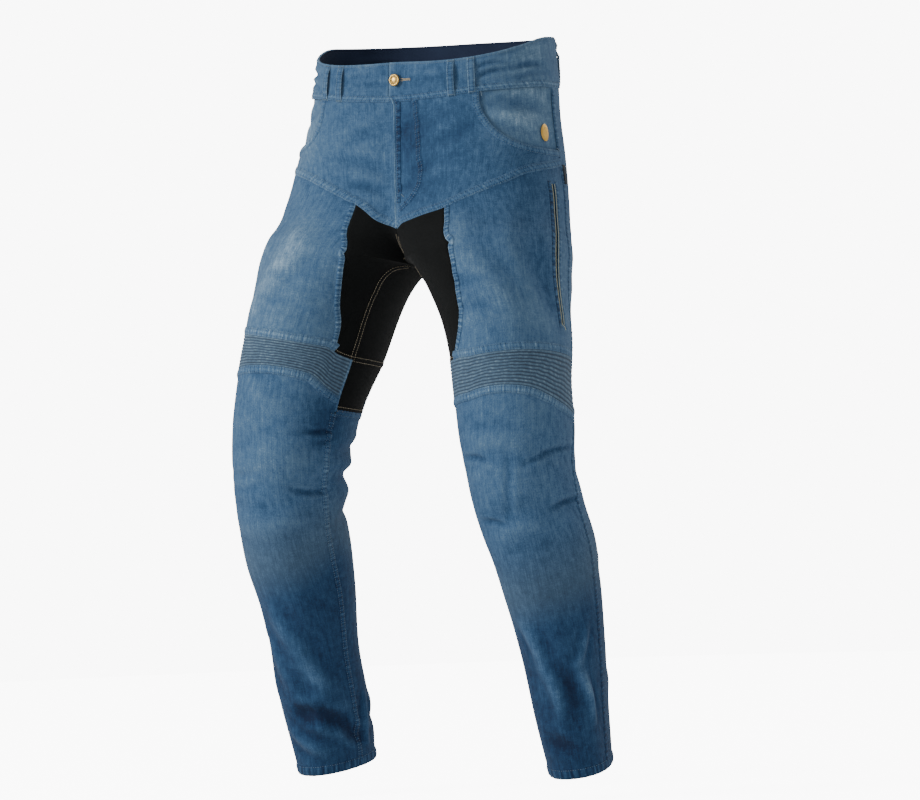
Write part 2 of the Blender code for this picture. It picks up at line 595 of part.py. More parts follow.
def make_black_back(side, black):
    top = go_along(GUSSET_TOP, shares(4))
    left = go_down(BLACK_BACK_EDGE, GUSSET_LEVEL, FRONT_LEVEL, shares(9))
    split = 3
    centre = np.linspace(row_of(GUSSET_TOP[-1][0]), 0.0, split + 1)
    centre = np.stack([centre, np.ones(split + 1)], 1)
    right = join(centre, go_down(INSEAM, CROTCH, FRONT_LEVEL, shares(9 - split), shift=1.0))
    low = go_round(BACK_LEVEL, BACK_EDGE_LEVEL, 1.0, shares(4))
    outer, inner = cloth_points(side, coons(top, low, left, right), STRETCH)
    wall_object("black_back_" + suffix(side), outer, inner, black)
    top = low
    low = go_round(KNEE_BACK, BACK_EDGE_KNEE, 1 + float(seam_read(INSEAM, KNEE_LEVEL)), shares(4))
    left = go_down(BLACK_BACK_EDGE, FRONT_LEVEL, KNEE_EDGE_LEVEL, shares(4))
    right = go_down(INSEAM, FRONT_LEVEL, KNEE_LEVEL, shares(4), shift=1.0)
    outer, inner = cloth_points(side, coons(top, low, left, right), STRETCH)
    wall_object("black_knee_" + suffix(side), outer, inner, black)


def make_rib_panel(side, denim):
    rows = 2 * RIB_COUNT
    under_black = go_round(RIB_TOP, 0.0, EDGE_LOW, BLACK_COLUMNS)
    top = join(under_black, go_round(RIB_TOP, EDGE_LOW, SIDE_ROUND, THIGH_COLUMNS))
    count = len(top) - 1
    inner_low, inner_round = corner(RIB_LOW, INSEAM, 0.479)
    outer_low, outer_round = corner(RIB_LOW, SIDE_SEAM, 0.505)
    low = go_round(RIB_LOW, inner_round, outer_round, shares(count))
    left = go_down(INSEAM, FRONT_LEVEL, inner_low, shares(rows))
    right = go_down(SIDE_SEAM, SIDE_LEVEL, outer_low, shares(rows))
    grid = coons(top, low, left, right)
    outer, inner = cloth_points(side, grid, DENIM)
    normal = outer - inner
    normal /= np.linalg.norm(normal, axis=-1, keepdims=True)
    ridge = np.zeros(rows + 1)
    ridge[1::2] = RIB_RISE
    outer = outer + normal * ridge[:, None, None]
    wall_object("rib_panel_" + suffix(side), outer, inner, denim)
    return low


def make_shin(side, rib_low, denim):
    start = drop_of(rib_low[0][0])
    outer_start = drop_of(rib_low[-1][0])
    left = go_down(INSEAM, float(start), HEM, leg_shares(float(start), HEM))
    across = leg_shares(float(start), HEM)
    right = go_down(SIDE_SEAM, float(outer_start), HEM, across)
    left_end, right_end = left[-1][1], right[-1][1]
    count = len(rib_low) - 1
    low = np.stack([np.full(count + 1, row_of(HEM)), np.linspace(left_end, right_end, count + 1)], 1)
    outer, inner = cloth_points(side, coons(rib_low, low, left, right), DENIM, relief=hem_relief)
    wall_object("shin_front_" + suffix(side), outer, inner, denim)


def make_back(side, denim):
    columns = 9
    band_side, band_centre = (float(seam_read(BAND_LOW, u)) for u in (SIDE_ROUND, 1.0))
    top = go_round(BAND_LOW, SIDE_ROUND, 1.0, shares(columns))
    centre_rows = np.linspace(row_of(band_centre), row_of(GUSSET_TOP[-1][0]), 9)
    centre = np.stack([centre_rows, np.ones(9)], 1)
    gusset = go_along(GUSSET_TOP[::-1], shares(4))
    edge = go_down(BLACK_BACK_EDGE, GUSSET_LEVEL, FRONT_LEVEL, shares(9))
    knee = go_down(BLACK_BACK_EDGE, FRONT_LEVEL, KNEE_EDGE_LEVEL, shares(4))
    right = join(centre, gusset, edge, knee)
    knee_drop, knee_round = corner(KNEE_BACK, SIDE_SEAM, 0.500)
    thigh_rows = go_down(SIDE_SEAM, V_SEAM[-1][1], SIDE_LEVEL, THIGH_ROWS)
    above = go_down(SIDE_SEAM, band_side, V_SEAM[-1][1], shares(6))
    rest = len(right) - len(above) - len(thigh_rows) + 1
    left = join(above, thigh_rows, go_down(SIDE_SEAM, SIDE_LEVEL, knee_drop, shares(rest)))
    low = go_round(KNEE_BACK, knee_round, BACK_EDGE_KNEE, shares(columns))
    outer, inner = cloth_points(side, coons(top, low, left, right), DENIM)
    wall_object("back_upper_" + suffix(side), outer, inner, denim)
    knee_inner = 1 + float(seam_read(INSEAM, KNEE_LEVEL))
    top = join(low, go_round(KNEE_BACK, BACK_EDGE_KNEE, knee_inner, shares(4)))
    rows = leg_shares(KNEE_LEVEL, HEM)
    left = go_down(SIDE_SEAM, knee_drop, HEM, rows)
    right = go_down(INSEAM, KNEE_LEVEL, HEM, rows, shift=1.0)
    count = len(top) - 1
    low = np.stack([np.full(count + 1, row_of(HEM)), np.linspace(left[-1][1], right[-1][1], count + 1)], 1)
    outer, inner = cloth_points(side, coons(top, low, left, right), DENIM, relief=hem_relief)
    wall_object("back_lower_" + suffix(side), outer, inner, denim)


def make_waistband(denim):
    # One strip from the fly edge round the left side, the back and the right side
    edge = float(seam_read(FLY_EDGE, 0.03))
    stations = np.r_[-edge, -edge / 2, np.linspace(0, 1, 25), 2 - np.linspace(1.0, edge, 24)[1:]]
    rows = 4
    grid = np.zeros((rows, len(stations), 2))
    reach = np.where(stations > 1, 2 - stations, stations)
    low = seam_read(BAND_LOW, reach)
    for i in range(rows):
        grid[i, :, 0] = row_of(low * i / (rows - 1))
        grid[i, :, 1] = stations
    outer, inner = cloth_points(1, grid, BAND_WALL, lift=BAND_PROUD)
    wall_object("waistband", outer, inner, denim)


def make_belt_loop(name, side, around, extra, denim):
    band_end = float(seam_read(BAND_LOW, around))
    end = band_end + LOOP_BELOW_BAND
    half = LOOP_WIDTH / 2 / float(girth(0.03))
    drops = np.array([LOOP_TOP, 0.006, 0.012, 0.022, 0.034, 0.046, band_end + 0.002, end])
    on_band = drops < band_end + 0.001
    rise = np.array([0, 0.0, 0.7, 1, 1, 0.9, 0.75, 0.0]) * LOOP_RISE
    seat = LOOP_WALL + REST_GAP + extra + np.where(on_band, BAND_PROUD, 0.0)
    grid = np.stack(np.meshgrid(row_of(drops), around + np.array([-half, half]), indexing="ij"), -1)
    lift = (seat + rise)[:, None] * np.ones((1, 2))
    outer, inner = cloth_points(side, grid, LOOP_WALL, lift=lift, inset=0.0)
    wall_object(name, outer, inner, denim)


def frame_at(side, drop, around, lift):
    place, normal = read_surface(side, drop, around)
    ahead, _ = read_surface(side, drop, around + 0.004)
    across = Vector(ahead - place)
    out = Vector(normal)
    across = (across - out * across.dot(out)).normalized()
    return Vector(place) + out * lift, across, out.cross(across), out


def turned_disc(name, side, drop, around, lift, profile, cloth, steps=20):
    # A round piece: its profile of (radius, height) turned about the cloth's normal
    centre, across, up, out = frame_at(side, drop, around, lift)
    bm = bmesh.new()
    first = [bm.verts.new(Vector((radius, 0, height))) for radius, height in profile]
    for a, b in zip(first, first[1:]):
        bm.edges.new((a, b))
    bmesh.ops.spin(bm, geom=bm.verts[:] + bm.edges[:], cent=(0, 0, 0), axis=(0, 0, 1),
                   angle=2 * pi, steps=steps, use_merge=True)
    bmesh.ops.remove_doubles(bm, verts=bm.verts[:], dist=1e-5)
    for vert in bm.verts:
        vert.co = centre + across * vert.co.x + up * vert.co.y + out * vert.co.z
    bmesh.ops.recalc_face_normals(bm, faces=bm.faces[:])
    finish(name, bm, cloth)


def make_button(brass):
    r, h = BUTTON_RADIUS, BUTTON_RISE
    profile = [(0, 0), (0.45 * r, 0), (0.45 * r, 0.42 * h), (0.9 * r, 0.46 * h), (r, 0.62 * h),
               (0.92 * r, 0.92 * h), (0.72 * r, h), (0.6 * r, 0.78 * h), (0, 0.78 * h)]
    turned_disc("waist_button", 1, BUTTON_DROP, 0.0, BAND_PROUD + BUTTON_SEAT, profile, brass)


def make_patch(name, side, spec, lift, cloth):
    # A small piece that lies on a panel, made from the panel's own points moved out
    half = spec["half_width"] / float(girth(spec["drop"]))
    drops = spec["drop"] + np.linspace(-1, 1, 5) * spec["half_height"]
    rounds = spec["around"] + np.linspace(-1, 1, 4) * half
    grid = np.stack(np.meshgrid(row_of(drops), rounds, indexing="ij"), -1)
    outer, inner = cloth_points(side, grid, spec["wall"], lift=lift + spec["wall"] + REST_GAP, inset=0.0)
    wall_object(name, outer, inner, cloth)


def main():
    clear_scene()
    denim = material("denim", 0.85)
    dark = material("denim_dark", 0.88)
    black = material("stretch_black", 0.80)
    tape = material("zip_black", 0.65)
    brass = material("brass", 0.35, 1.0)
    make_waistband(denim)
    for side in (1, -1):
        make_hip_front(side, denim)
        facing_lift = make_pocket_facing(side, denim)
        make_thigh(side, denim, tape)
        make_black_front(side, black)
        make_black_back(side, black)
        rib_low = make_rib_panel(side, dark)
        make_shin(side, rib_low, denim)
        make_back(side, denim)
    for name, (side, around, extra) in BELT_LOOPS.items():
        make_belt_loop(name, side, around, extra, denim)
    make_button(brass)
    make_patch("pocket_badge", 1, BADGE, facing_lift, brass)
    make_patch("side_tab", 1, SIDE_TAB, 0.0, dark)


main()
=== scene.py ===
# Motorcycle trousers in washed stretch denim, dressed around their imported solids.
# Metres, Z up, front towards -Y, the wearer's left towards +X.
import bmesh
import bpy
import numpy as np
from math import cos, pi, radians, sin, tan
from mathutils import Matrix, Vector


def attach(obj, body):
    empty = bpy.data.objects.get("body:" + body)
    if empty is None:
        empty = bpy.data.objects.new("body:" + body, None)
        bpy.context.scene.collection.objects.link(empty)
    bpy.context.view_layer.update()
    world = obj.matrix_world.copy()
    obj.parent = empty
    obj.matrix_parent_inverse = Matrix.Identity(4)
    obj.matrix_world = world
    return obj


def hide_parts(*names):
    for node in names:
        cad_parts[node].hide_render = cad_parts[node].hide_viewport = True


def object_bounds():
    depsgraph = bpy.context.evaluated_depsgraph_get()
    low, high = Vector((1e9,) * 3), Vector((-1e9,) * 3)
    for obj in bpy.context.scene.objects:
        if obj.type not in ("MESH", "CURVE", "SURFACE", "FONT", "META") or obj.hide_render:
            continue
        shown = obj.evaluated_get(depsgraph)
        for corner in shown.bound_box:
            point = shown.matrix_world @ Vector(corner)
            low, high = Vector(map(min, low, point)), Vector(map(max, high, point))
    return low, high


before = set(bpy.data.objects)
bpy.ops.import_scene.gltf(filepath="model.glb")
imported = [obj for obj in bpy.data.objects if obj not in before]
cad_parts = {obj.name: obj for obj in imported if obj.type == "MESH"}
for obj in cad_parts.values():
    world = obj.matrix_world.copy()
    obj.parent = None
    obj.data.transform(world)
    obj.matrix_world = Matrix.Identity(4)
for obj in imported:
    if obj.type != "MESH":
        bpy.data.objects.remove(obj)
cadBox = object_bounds()
print("frame loaded")

# The surface that all cloth follows, the same as in the solids
form = dict(crotch=0.297, hem=1.000, crest=0.06, soften=0.030)
fineness = dict(cell=0.0030, band=0.0015, surfaceRows=520, surfaceRound=480)
levelColumns = "cx cy gap out front back tiltf tiltb roll turn power".split()
levelTable = [  # drop below the waist, then the columns above
    (-0.030, 0.060, 0.008, -0.110, 0.173, 0.101, 0.108, 16, 0, 0, 0, 2.1),
    (0.000, 0.060, 0.006, -0.110, 0.176, 0.101, 0.108, 16, 0, 0, 0, 2.1),
    (0.056, 0.062, 0.000, -0.105, 0.183, 0.099, 0.114, 10, 0, 0, 0, 2.1),
    (0.110, 0.070, -0.012, -0.095, 0.190, 0.095, 0.120, 3, 0, 0, 0, 2.1),
    (0.160, 0.080, -0.020, -0.083, 0.199, 0.096, 0.124, -3, -2, 0, 0, 2.1),
    (0.214, 0.095, -0.033, -0.070, 0.212, 0.094, 0.126, -7, -7, 0, 2, 2.0),
    (0.264, 0.112, -0.048, -0.030, 0.223, 0.100, 0.122, -9, -9, 2, 4, 2.0),
    (0.281, 0.119, -0.054, -0.009, 0.229, 0.105, 0.118, -10, -10, 4, 7, 2.0),
    (0.297, 0.124, -0.058, 0.000, 0.233, 0.107, 0.116, -10, -10, 5, 10, 2.0),
    (0.344, 0.139, -0.066, 0.048, 0.235, 0.108, 0.114, -9, -9, 7, 13, 2.0),
    (0.371, 0.148, -0.070, 0.062, 0.237, 0.107, 0.110, -9, -9, 8, 16, 2.0),
    (0.425, 0.162, -0.080, 0.080, 0.245, 0.102, 0.102, -8, -8, 9, 18, 2.0),
    (0.480, 0.174, -0.094, 0.094, 0.252, 0.093, 0.087, -6, -6, 9, 20, 2.1),
    (0.534, 0.183, -0.102, 0.104, 0.260, 0.088, 0.083, -2, -2, 8, 20, 2.1),
    (0.591, 0.190, -0.104, 0.116, 0.262, 0.083, 0.077, 6, 6, 6, 20, 2.1),
    (0.646, 0.197, -0.094, 0.124, 0.267, 0.076, 0.074, 13, 13, 4, 20, 2.1),
    (0.701, 0.202, -0.074, 0.133, 0.271, 0.074, 0.074, 17, 17, 2, 20, 2.1),
    (0.756, 0.201, -0.057, 0.137, 0.267, 0.067, 0.067, 18, 18, 0, 20, 2.1),
    (0.839, 0.203, -0.037, 0.147, 0.260, 0.061, 0.062, 17, 17, 0, 20, 2.1),
    (0.922, 0.201, -0.016, 0.151, 0.250, 0.062, 0.063, 15, 15, 0, 20, 2.1),
    (1.000, 0.201, 0.002, 0.158, 0.243, 0.059, 0.059, 12, 12, 0, 20, 2.1),
]

kneeLevel = 0.501  # where the knee seam meets the inseam

# Seams as on the solids. Those that run around hold (round, drop), and those that
# run down hold (drop, round).
seams = dict(
    bandLow=[(-0.05, 0.059), (0, 0.060), (0.15, 0.055), (0.27, 0.051), (0.40, 0.056), (0.53, 0.064),
             (0.75, 0.058), (1.0, 0.056)],
    vSeam=[(0, 0.2597), (0.02, 0.2555), (0.06, 0.2513), (0.09, 0.2463), (0.132, 0.2389),
           (0.19, 0.2245), (0.25, 0.2095), (0.3, 0.198), (0.35, 0.189), (0.42, 0.182),
           (0.53, 0.172)],
    ribTop=[(-0.02, 0.427), (0.09, 0.427), (0.3, 0.428), (0.55, 0.430)],
    backLevel=[(0.7, 0.427), (1.1, 0.427)],
    ribLow=[(-0.02, 0.480), (0.1, 0.470), (0.2, 0.466), (0.3, 0.472), (0.4, 0.486), (0.55, 0.512)],
    kneeBack=[(0.48, 0.500), (0.7, 0.500), (0.86, 0.503), (1.0, 0.501)],
    flyEdge=[(-0.01, 0.026), (0.06, 0.021), (0.16, 0.011), (0.2597, 0.0)],
    blackEdge=[(0.2389, 0.132), (0.259, 0.143), (0.277, 0.161), (0.285, 0.172), (0.297, 0.2005),
               (0.307, 0.1945),
               (0.3195, 0.187), (0.331, 0.179), (0.344, 0.170), (0.366, 0.152), (0.389, 0.125),
               (0.407, 0.104),
               (0.427, 0.082)],
    inseam=[(0.297, 0.0), (0.303, 0.033), (0.312, 0.05), (0.338, 0.04), (0.369, 0.021),
            (0.4, 0.004),
            (0.427, -0.004), (0.5, -0.008), (0.6, -0.018), (0.75, -0.032), (1.0, -0.045)],
    sideSeam=[(0.05, 0.530), (0.43, 0.530), (0.52, 0.515), (0.65, 0.470), (0.80, 0.455),
              (1.0, 0.445)],
    blackBackEdge=[(0.28, 0.87), (0.297, 0.85), (0.35, 0.828), (0.427, 0.805), (0.503, 0.860)],
    gussetTop=[(0.28, 0.87), (0.268, 0.925), (0.245, 1.0)],
    pocketMouth=[(0.051, 0.270), (0.078, 0.271), (0.104, 0.280), (0.122, 0.298), (0.138, 0.330),
                 (0.149, 0.385), (0.154, 0.450), (0.156, 0.530)],
    pocketInner=[(0.051, 0.258), (0.080, 0.259), (0.108, 0.269), (0.127, 0.289), (0.142, 0.323),
                 (0.153, 0.380), (0.158, 0.450), (0.160, 0.530)],
)

# The stride draws the seams down and round: for each side, drop, how far down, how far round
seamShifts = {
    1: [(0.08, 0, 0), (0.20, 0, 0.045), (0.297, 0, 0.050), (0.427, 0.016, 0.055),
        (0.49, 0.020, 0.025),
        (0.62, 0.010, 0), (0.75, 0, 0)],
    -1: [(0.08, 0, 0), (0.18, -0.012, -0.040), (0.26, -0.010, -0.045), (0.297, 0, -0.050),
         (0.427, -0.014, -0.055), (0.49, -0.020, -0.025), (0.62, -0.010, 0), (0.75, 0, 0)],
}
shiftRound = [(0.026, 0), (0.13, 1), (0.27, 1), (0.45, 0)]  # round, share of the shift round
# Round, share downwards above the crotch
shiftHip = [(0.026, 0), (0.13, 1), (0.53, 1), (0.75, 0.3), (1, 0)]
shiftLeg = [(0, 0.3), (0.13, 1), (0.53, 1), (0.75, 0.3)]  # round, share downwards on the leg
# Drop, how far the front centre moves
shiftCentre = [(0.056, 0), (0.075, 0.015), (0.266, 0.018), (0.297, 0)]
centreReach = 0.13  # round where that ends

# Main folds as on the solids: side (0 both), drop, round, half length, half width, depth, angle
mainFolds = [
    (-1, 0.522, 0.030, 0.034, 0.010, -0.0040, 4),
    (-1, 0.540, 0.020, 0.026, 0.008, -0.0030, 12),
    (-1, 0.598, 0.040, 0.040, 0.011, -0.0045, -6),
    (-1, 0.588, 0.270, 0.036, 0.010, -0.0030, 4),
    (-1, 0.560, 0.150, 0.045, 0.016, 0.0030, 8),
    (1, 0.566, 0.140, 0.034, 0.010, -0.0040, -10),
    (1, 0.575, 0.400, 0.040, 0.010, -0.0045, 12),
    (1, 0.638, 0.410, 0.036, 0.010, -0.0040, 14),
    (1, 0.642, 0.160, 0.034, 0.010, -0.0035, -8),
    (1, 0.606, 0.270, 0.050, 0.018, 0.0030, 6),
    (0, 0.550, 0.900, 0.050, 0.011, -0.0045, 5),
    (0, 0.571, 0.880, 0.055, 0.012, 0.0040, 0),
    (0, 0.588, 0.870, 0.050, 0.011, -0.0055, -6),
    (0, 0.615, 0.860, 0.055, 0.013, 0.0045, -4),
    (0, 0.648, 0.850, 0.045, 0.012, -0.0045, 8),
    (0, 0.560, 0.650, 0.040, 0.012, -0.0035, -12),
    (0, 0.610, 0.620, 0.040, 0.012, -0.0035, 10),
    (0, 0.870, 0.150, 0.100, 0.018, -0.0040, 72),
    (0, 0.890, 0.330, 0.090, 0.020, 0.0035, 80),
    (0, 0.900, 0.800, 0.090, 0.020, -0.0040, 96),
    (0, 0.300, 0.700, 0.060, 0.016, -0.0040, -18),
    (0, 0.330, 0.690, 0.060, 0.016, 0.0035, -14),
]

# Creases listed one by one: side, drop and round of both ends, half width, depth
creases = [
    (-1, 0.523, 0.075, 0.519, -0.010, 0.0034, -0.0024),
    (-1, 0.538, 0.030, 0.532, -0.016, 0.0030, -0.0016),
    (-1, 0.595, 0.105, 0.603, -0.020, 0.0034, -0.0024),
    (-1, 0.591, 0.350, 0.583, 0.180, 0.0045, 0.0014),
    (-1, 0.470, 0.270, 0.500, 0.120, 0.0120, 0.0014),
    (-1, 0.550, 0.330, 0.530, 0.160, 0.0140, -0.0010),
    (-1, 0.640, 0.330, 0.632, 0.060, 0.0130, 0.0015),
    (-1, 0.903, 0.230, 0.909, 0.090, 0.0110, -0.0042),
    (-1, 0.908, 0.120, 0.930, 0.010, 0.0110, -0.0045),
    (-1, 0.928, 0.040, 0.965, -0.060, 0.0090, -0.0035),
    (-1, 0.900, -0.100, 0.975, -0.085, 0.0060, 0.0028),
    (-1, 0.926, 0.280, 0.970, 0.095, 0.0090, 0.0030),
    (-1, 0.745, 0.240, 0.820, 0.140, 0.0130, 0.0024),
    (-1, 0.815, 0.160, 0.885, 0.050, 0.0130, 0.0026),
    (-1, 0.800, 0.330, 0.880, 0.260, 0.0110, -0.0020),
    (1, 0.561, 0.075, 0.573, 0.215, 0.0032, -0.0020),
    (1, 0.580, 0.300, 0.570, 0.500, 0.0034, -0.0025),
    (1, 0.637, 0.345, 0.637, 0.480, 0.0034, -0.0025),
    (1, 0.638, 0.100, 0.647, 0.225, 0.0032, -0.0018),
    (1, 0.560, 0.262, 0.640, 0.217, 0.0060, -0.0010),
    (1, 0.548, 0.140, 0.562, 0.330, 0.0100, 0.0014),
    (1, 0.660, 0.150, 0.652, 0.330, 0.0120, 0.0014),
    (1, 0.770, 0.150, 0.845, 0.205, 0.0100, 0.0026),
    (1, 0.840, 0.200, 0.905, 0.255, 0.0100, 0.0022),
    (1, 0.790, 0.385, 0.845, 0.320, 0.0060, 0.0022),
    (1, 0.845, 0.325, 0.930, 0.370, 0.0055, 0.0028),
    (1, 0.830, 0.270, 0.930, 0.300, 0.0120, -0.0028),
    (1, 0.940, 0.150, 0.965, 0.300, 0.0100, -0.0020),
    (1, 0.016, 0.262, 0.023, 0.380, 0.0036, -0.0018),
    (1, 0.034, 0.262, 0.029, 0.350, 0.0042, -0.0022),
    (1, 0.029, 0.340, 0.042, 0.500, 0.0048, -0.0022),
    (1, 0.008, 0.330, 0.006, 0.520, 0.0045, -0.0012),
    (1, 0.046, 0.360, 0.054, 0.520, 0.0040, -0.0014),
    (-1, 0.020, 0.060, 0.026, 0.170, 0.0050, -0.0012),
    (-1, 0.038, 0.030, 0.034, 0.150, 0.0050, -0.0012),
    (-1, 0.022, 0.280, 0.034, 0.450, 0.0046, -0.0020),
    (-1, 0.044, 0.270, 0.040, 0.420, 0.0042, -0.0014),
    (1, 0.020, 0.030, 0.024, 0.160, 0.0060, 0.0010),
    (1, 0.078, 0.300, 0.100, 0.470, 0.0090, -0.0022),
    (1, 0.100, 0.290, 0.125, 0.440, 0.0080, 0.0016),
    (1, 0.160, 0.120, 0.108, 0.290, 0.0110, -0.0012),
    (1, 0.195, 0.060, 0.165, 0.210, 0.0100, -0.0014),
    (1, 0.130, 0.010, 0.100, 0.120, 0.0080, -0.0010),
    (-1, 0.110, 0.020, 0.140, 0.150, 0.0110, -0.0012),
    (-1, 0.185, 0.010, 0.165, 0.160, 0.0100, -0.0014),
    (-1, 0.215, 0.010, 0.205, 0.120, 0.0070, -0.0014),
    (-1, 0.080, 0.300, 0.110, 0.400, 0.0080, -0.0020),
    (1, 0.218, 0.010, 0.206, 0.110, 0.0070, -0.0014),
    (1, 0.350, 0.205, 0.352, 0.330, 0.0070, -0.0010),
    (1, 0.390, 0.170, 0.385, 0.300, 0.0070, -0.0010),
    (-1, 0.336, 0.215, 0.334, 0.300, 0.0070, -0.0010),
    (-1, 0.374, 0.160, 0.368, 0.290, 0.0060, -0.0010),
    (0, 0.245, 0.200, 0.410, 0.330, 0.0200, 0.0016),
    (0, 0.240, 0.380, 0.400, 0.420, 0.0160, -0.0014),
    (0, 0.525, 0.690, 0.545, 0.860, 0.0070, -0.0026),
    (0, 0.560, 0.600, 0.575, 0.760, 0.0060, -0.0022),
    (0, 0.600, 0.640, 0.588, 0.820, 0.0065, -0.0026),
    (0, 0.640, 0.620, 0.625, 0.760, 0.0070, -0.0020),
    (0, 0.505, 0.640, 0.512, 0.780, 0.0070, 0.0018),
    (0, 0.280, 0.600, 0.305, 0.790, 0.0100, -0.0022),
    (0, 0.318, 0.640, 0.345, 0.800, 0.0090, -0.0020),
    (0, 0.240, 0.700, 0.262, 0.920, 0.0120, 0.0018),
    (0, 0.440, 0.600, 0.462, 0.760, 0.0090, -0.0016),
    (0, 0.720, 0.570, 0.800, 0.720, 0.0120, 0.0024),
    (0, 0.860, 0.560, 0.930, 0.700, 0.0120, -0.0028),
    (0, 0.915, 0.720, 0.960, 0.880, 0.0100, -0.0026),
    (0, 0.020, 0.620, 0.026, 0.780, 0.0050, -0.0014),
    (0, 0.040, 0.800, 0.036, 0.940, 0.0050, -0.0012),
]

# Wash of the denim: how faded each level is, and spots that are lighter or darker, some for uneven wash
# and some painted light on the wearer's right side and painted shade on the left
washLevels = [(-0.02, 0.55), (0.05, 0.55), (0.08, 0.50), (0.16, 0.47), (0.24, 0.48), (0.29, 0.57),
              (0.40, 0.60),
              (0.45, 0.56), (0.50, 0.55), (0.58, 0.54), (0.64, 0.50), (0.70, 0.46), (0.76, 0.44),
              (1.0, 0.43)]
washAndLightSpots = [  # side, drop, round, half drop, half round, amount
    (1, 0.130, 0.060, 0.060, 0.070, -0.30),
    (1, 0.220, 0.100, 0.040, 0.080, -0.10),
    (1, 0.110, 0.220, 0.070, 0.060, -0.12),
    (1, 0.110, 0.420, 0.050, 0.120, 0.16),
    (-1, 0.150, 0.110, 0.060, 0.100, 0.06),
    (-1, 0.150, 0.330, 0.070, 0.120, 0.20),
    (-1, 0.300, 0.330, 0.090, 0.130, 0.14),
    (-1, 0.350, 0.200, 0.060, 0.080, 0.04),
    (1, 0.320, 0.240, 0.080, 0.090, -0.04),
    (0, 0.400, 0.300, 0.030, 0.150, 0.06),
    (0, 0.340, 0.445, 0.100, 0.022, -0.16),
    (0, 0.270, 0.230, 0.040, 0.060, 0.05),
    (-1, 0.510, 0.010, 0.030, 0.060, -0.34),
    (1, 0.505, 0.120, 0.030, 0.080, -0.05),
    (-1, 0.560, 0.180, 0.060, 0.110, 0.06),
    (1, 0.520, 0.300, 0.040, 0.100, 0.05),
    (0, 0.560, 0.880, 0.080, 0.080, -0.18),
    (1, 0.030, 0.020, 0.030, 0.050, -0.10),
    (1, 0.030, 0.120, 0.020, 0.060, -0.08),
    (-1, 0.030, 0.100, 0.025, 0.080, -0.04),
    (1, 0.015, 0.420, 0.030, 0.100, 0.16),
    (-1, 0.020, 0.400, 0.040, 0.080, 0.16),
    (0, 0.200, 0.800, 0.100, 0.150, 0.10),
    (0, 0.400, 0.680, 0.080, 0.140, 0.06),
    (-1, 0.930, 0.170, 0.030, 0.090, -0.10),
    (-1, 0.850, 0.130, 0.060, 0.060, 0.12),
    (-1, 0.960, 0.200, 0.030, 0.070, 0.10),
    (1, 0.840, 0.180, 0.070, 0.040, 0.14),
    (1, 0.860, 0.345, 0.070, 0.035, 0.14),
    (1, 0.950, 0.200, 0.040, 0.100, -0.08),
]
darkBelow = {  # (round, drop) of the diagonal line under which the lower leg stays dark
    1: [(-0.05, 0.790), (0.13, 0.772), (0.25, 0.761), (0.37, 0.757), (0.55, 0.745), (0.8, 0.760),
        (0.95, 0.790)],
    -1: [(-0.05, 0.690), (0.10, 0.714), (0.18, 0.718), (0.35, 0.730), (0.55, 0.745), (0.8, 0.720),
         (0.95, 0.690)],
}
# drop and soft darken the lower leg; the fold and crease depths and pull turn cloth height into painted
# shade and highlight; tint is the shin's cast
washAndShadeDepths = dict(drop=0.20, soft=0.10, fold=10.0, creaseShading=44.0, pull=150, tint=0.24)
creaseGain = 1.6


def slopes(x, y):
    step = np.diff(x)
    rise = np.diff(y, axis=0) / step[:, None]
    share = (step[1:] / (step[1:] + step[:-1]))[:, None]
    middle = rise[:-1] * share + rise[1:] * (1 - share)
    return np.vstack([rise[:1], middle, rise[-1:]])


def smoothRead(x, y, slope, at):  # a smooth curve through a table
    at = np.asarray(at, float)
    i = np.clip(np.searchsorted(x, at) - 1, 0, len(x) - 2)
    step = x[i + 1] - x[i]
    t = ((at - x[i]) / step)[..., None]
    step = step[..., None]
    return ((2 * t**3 - 3 * t**2 + 1) * y[i] + (t**3 - 2 * t**2 + t) * step * slope[i]
            + (3 * t**2 - 2 * t**3) * y[i + 1] + (t**3 - t**2) * step * slope[i + 1])


def seamRead(table, at):
    table = np.array(table, float)
    x, y = table[:, 0], table[:, 1:]
    return smoothRead(x, y, slopes(x, y), at)[..., 0]


def downRead(table, drop):  # a seam that runs down turns a corner at the crotch's level
    table = np.array(table, float)
    upper, lower = table[table[:, 0] <= form["crotch"]], table[table[:, 0] >= form["crotch"]]
    if min(len(upper), len(lower)) < 2:
        return seamRead(table, drop)
    rows = rowOf(drop)
    halves = []
    for part in (upper, lower):
        at = rowOf(part[:, 0])
        halves.append(smoothRead(at, part[:, 1:], slopes(at, part[:, 1:]), rows)[..., 0])
    return np.where(rows < 0, halves[0], halves[1])


def rowOf(drop):  # row coordinate: even rows in it lie close together near the crotch
    t = np.abs(np.asarray(drop, float) - form["crotch"])
    return np.sign(drop - form["crotch"]) * (t + np.sqrt(t * t + 4 * form["crest"] * t)) / 2


def dropOf(row):
    return form["crotch"] + np.sign(row) * row * row / (np.abs(row) + form["crest"])


def levelAt(table, drop):  # all values of one level; the inner reach opens like an arch
    x, y = table[:, 0], table[:, 1:]
    now = dict(zip(levelColumns, smoothRead(x, y, slopes(x, y), drop)))
    above = x <= form["crotch"]
    below = x >= form["crotch"]
    gaps = table[:, 3:4]
    if drop < form["crotch"]:
        gap = smoothRead(x[above], gaps[above], slopes(x[above], gaps[above]), drop)[0]
        now["gap"] = min(gap, 0.0)
    else:
        rows = rowOf(x[below])
        gap = smoothRead(rows, gaps[below], slopes(rows, gaps[below]), rowOf(drop))[0]
        now["gap"] = max(gap, 0.0)
    return now


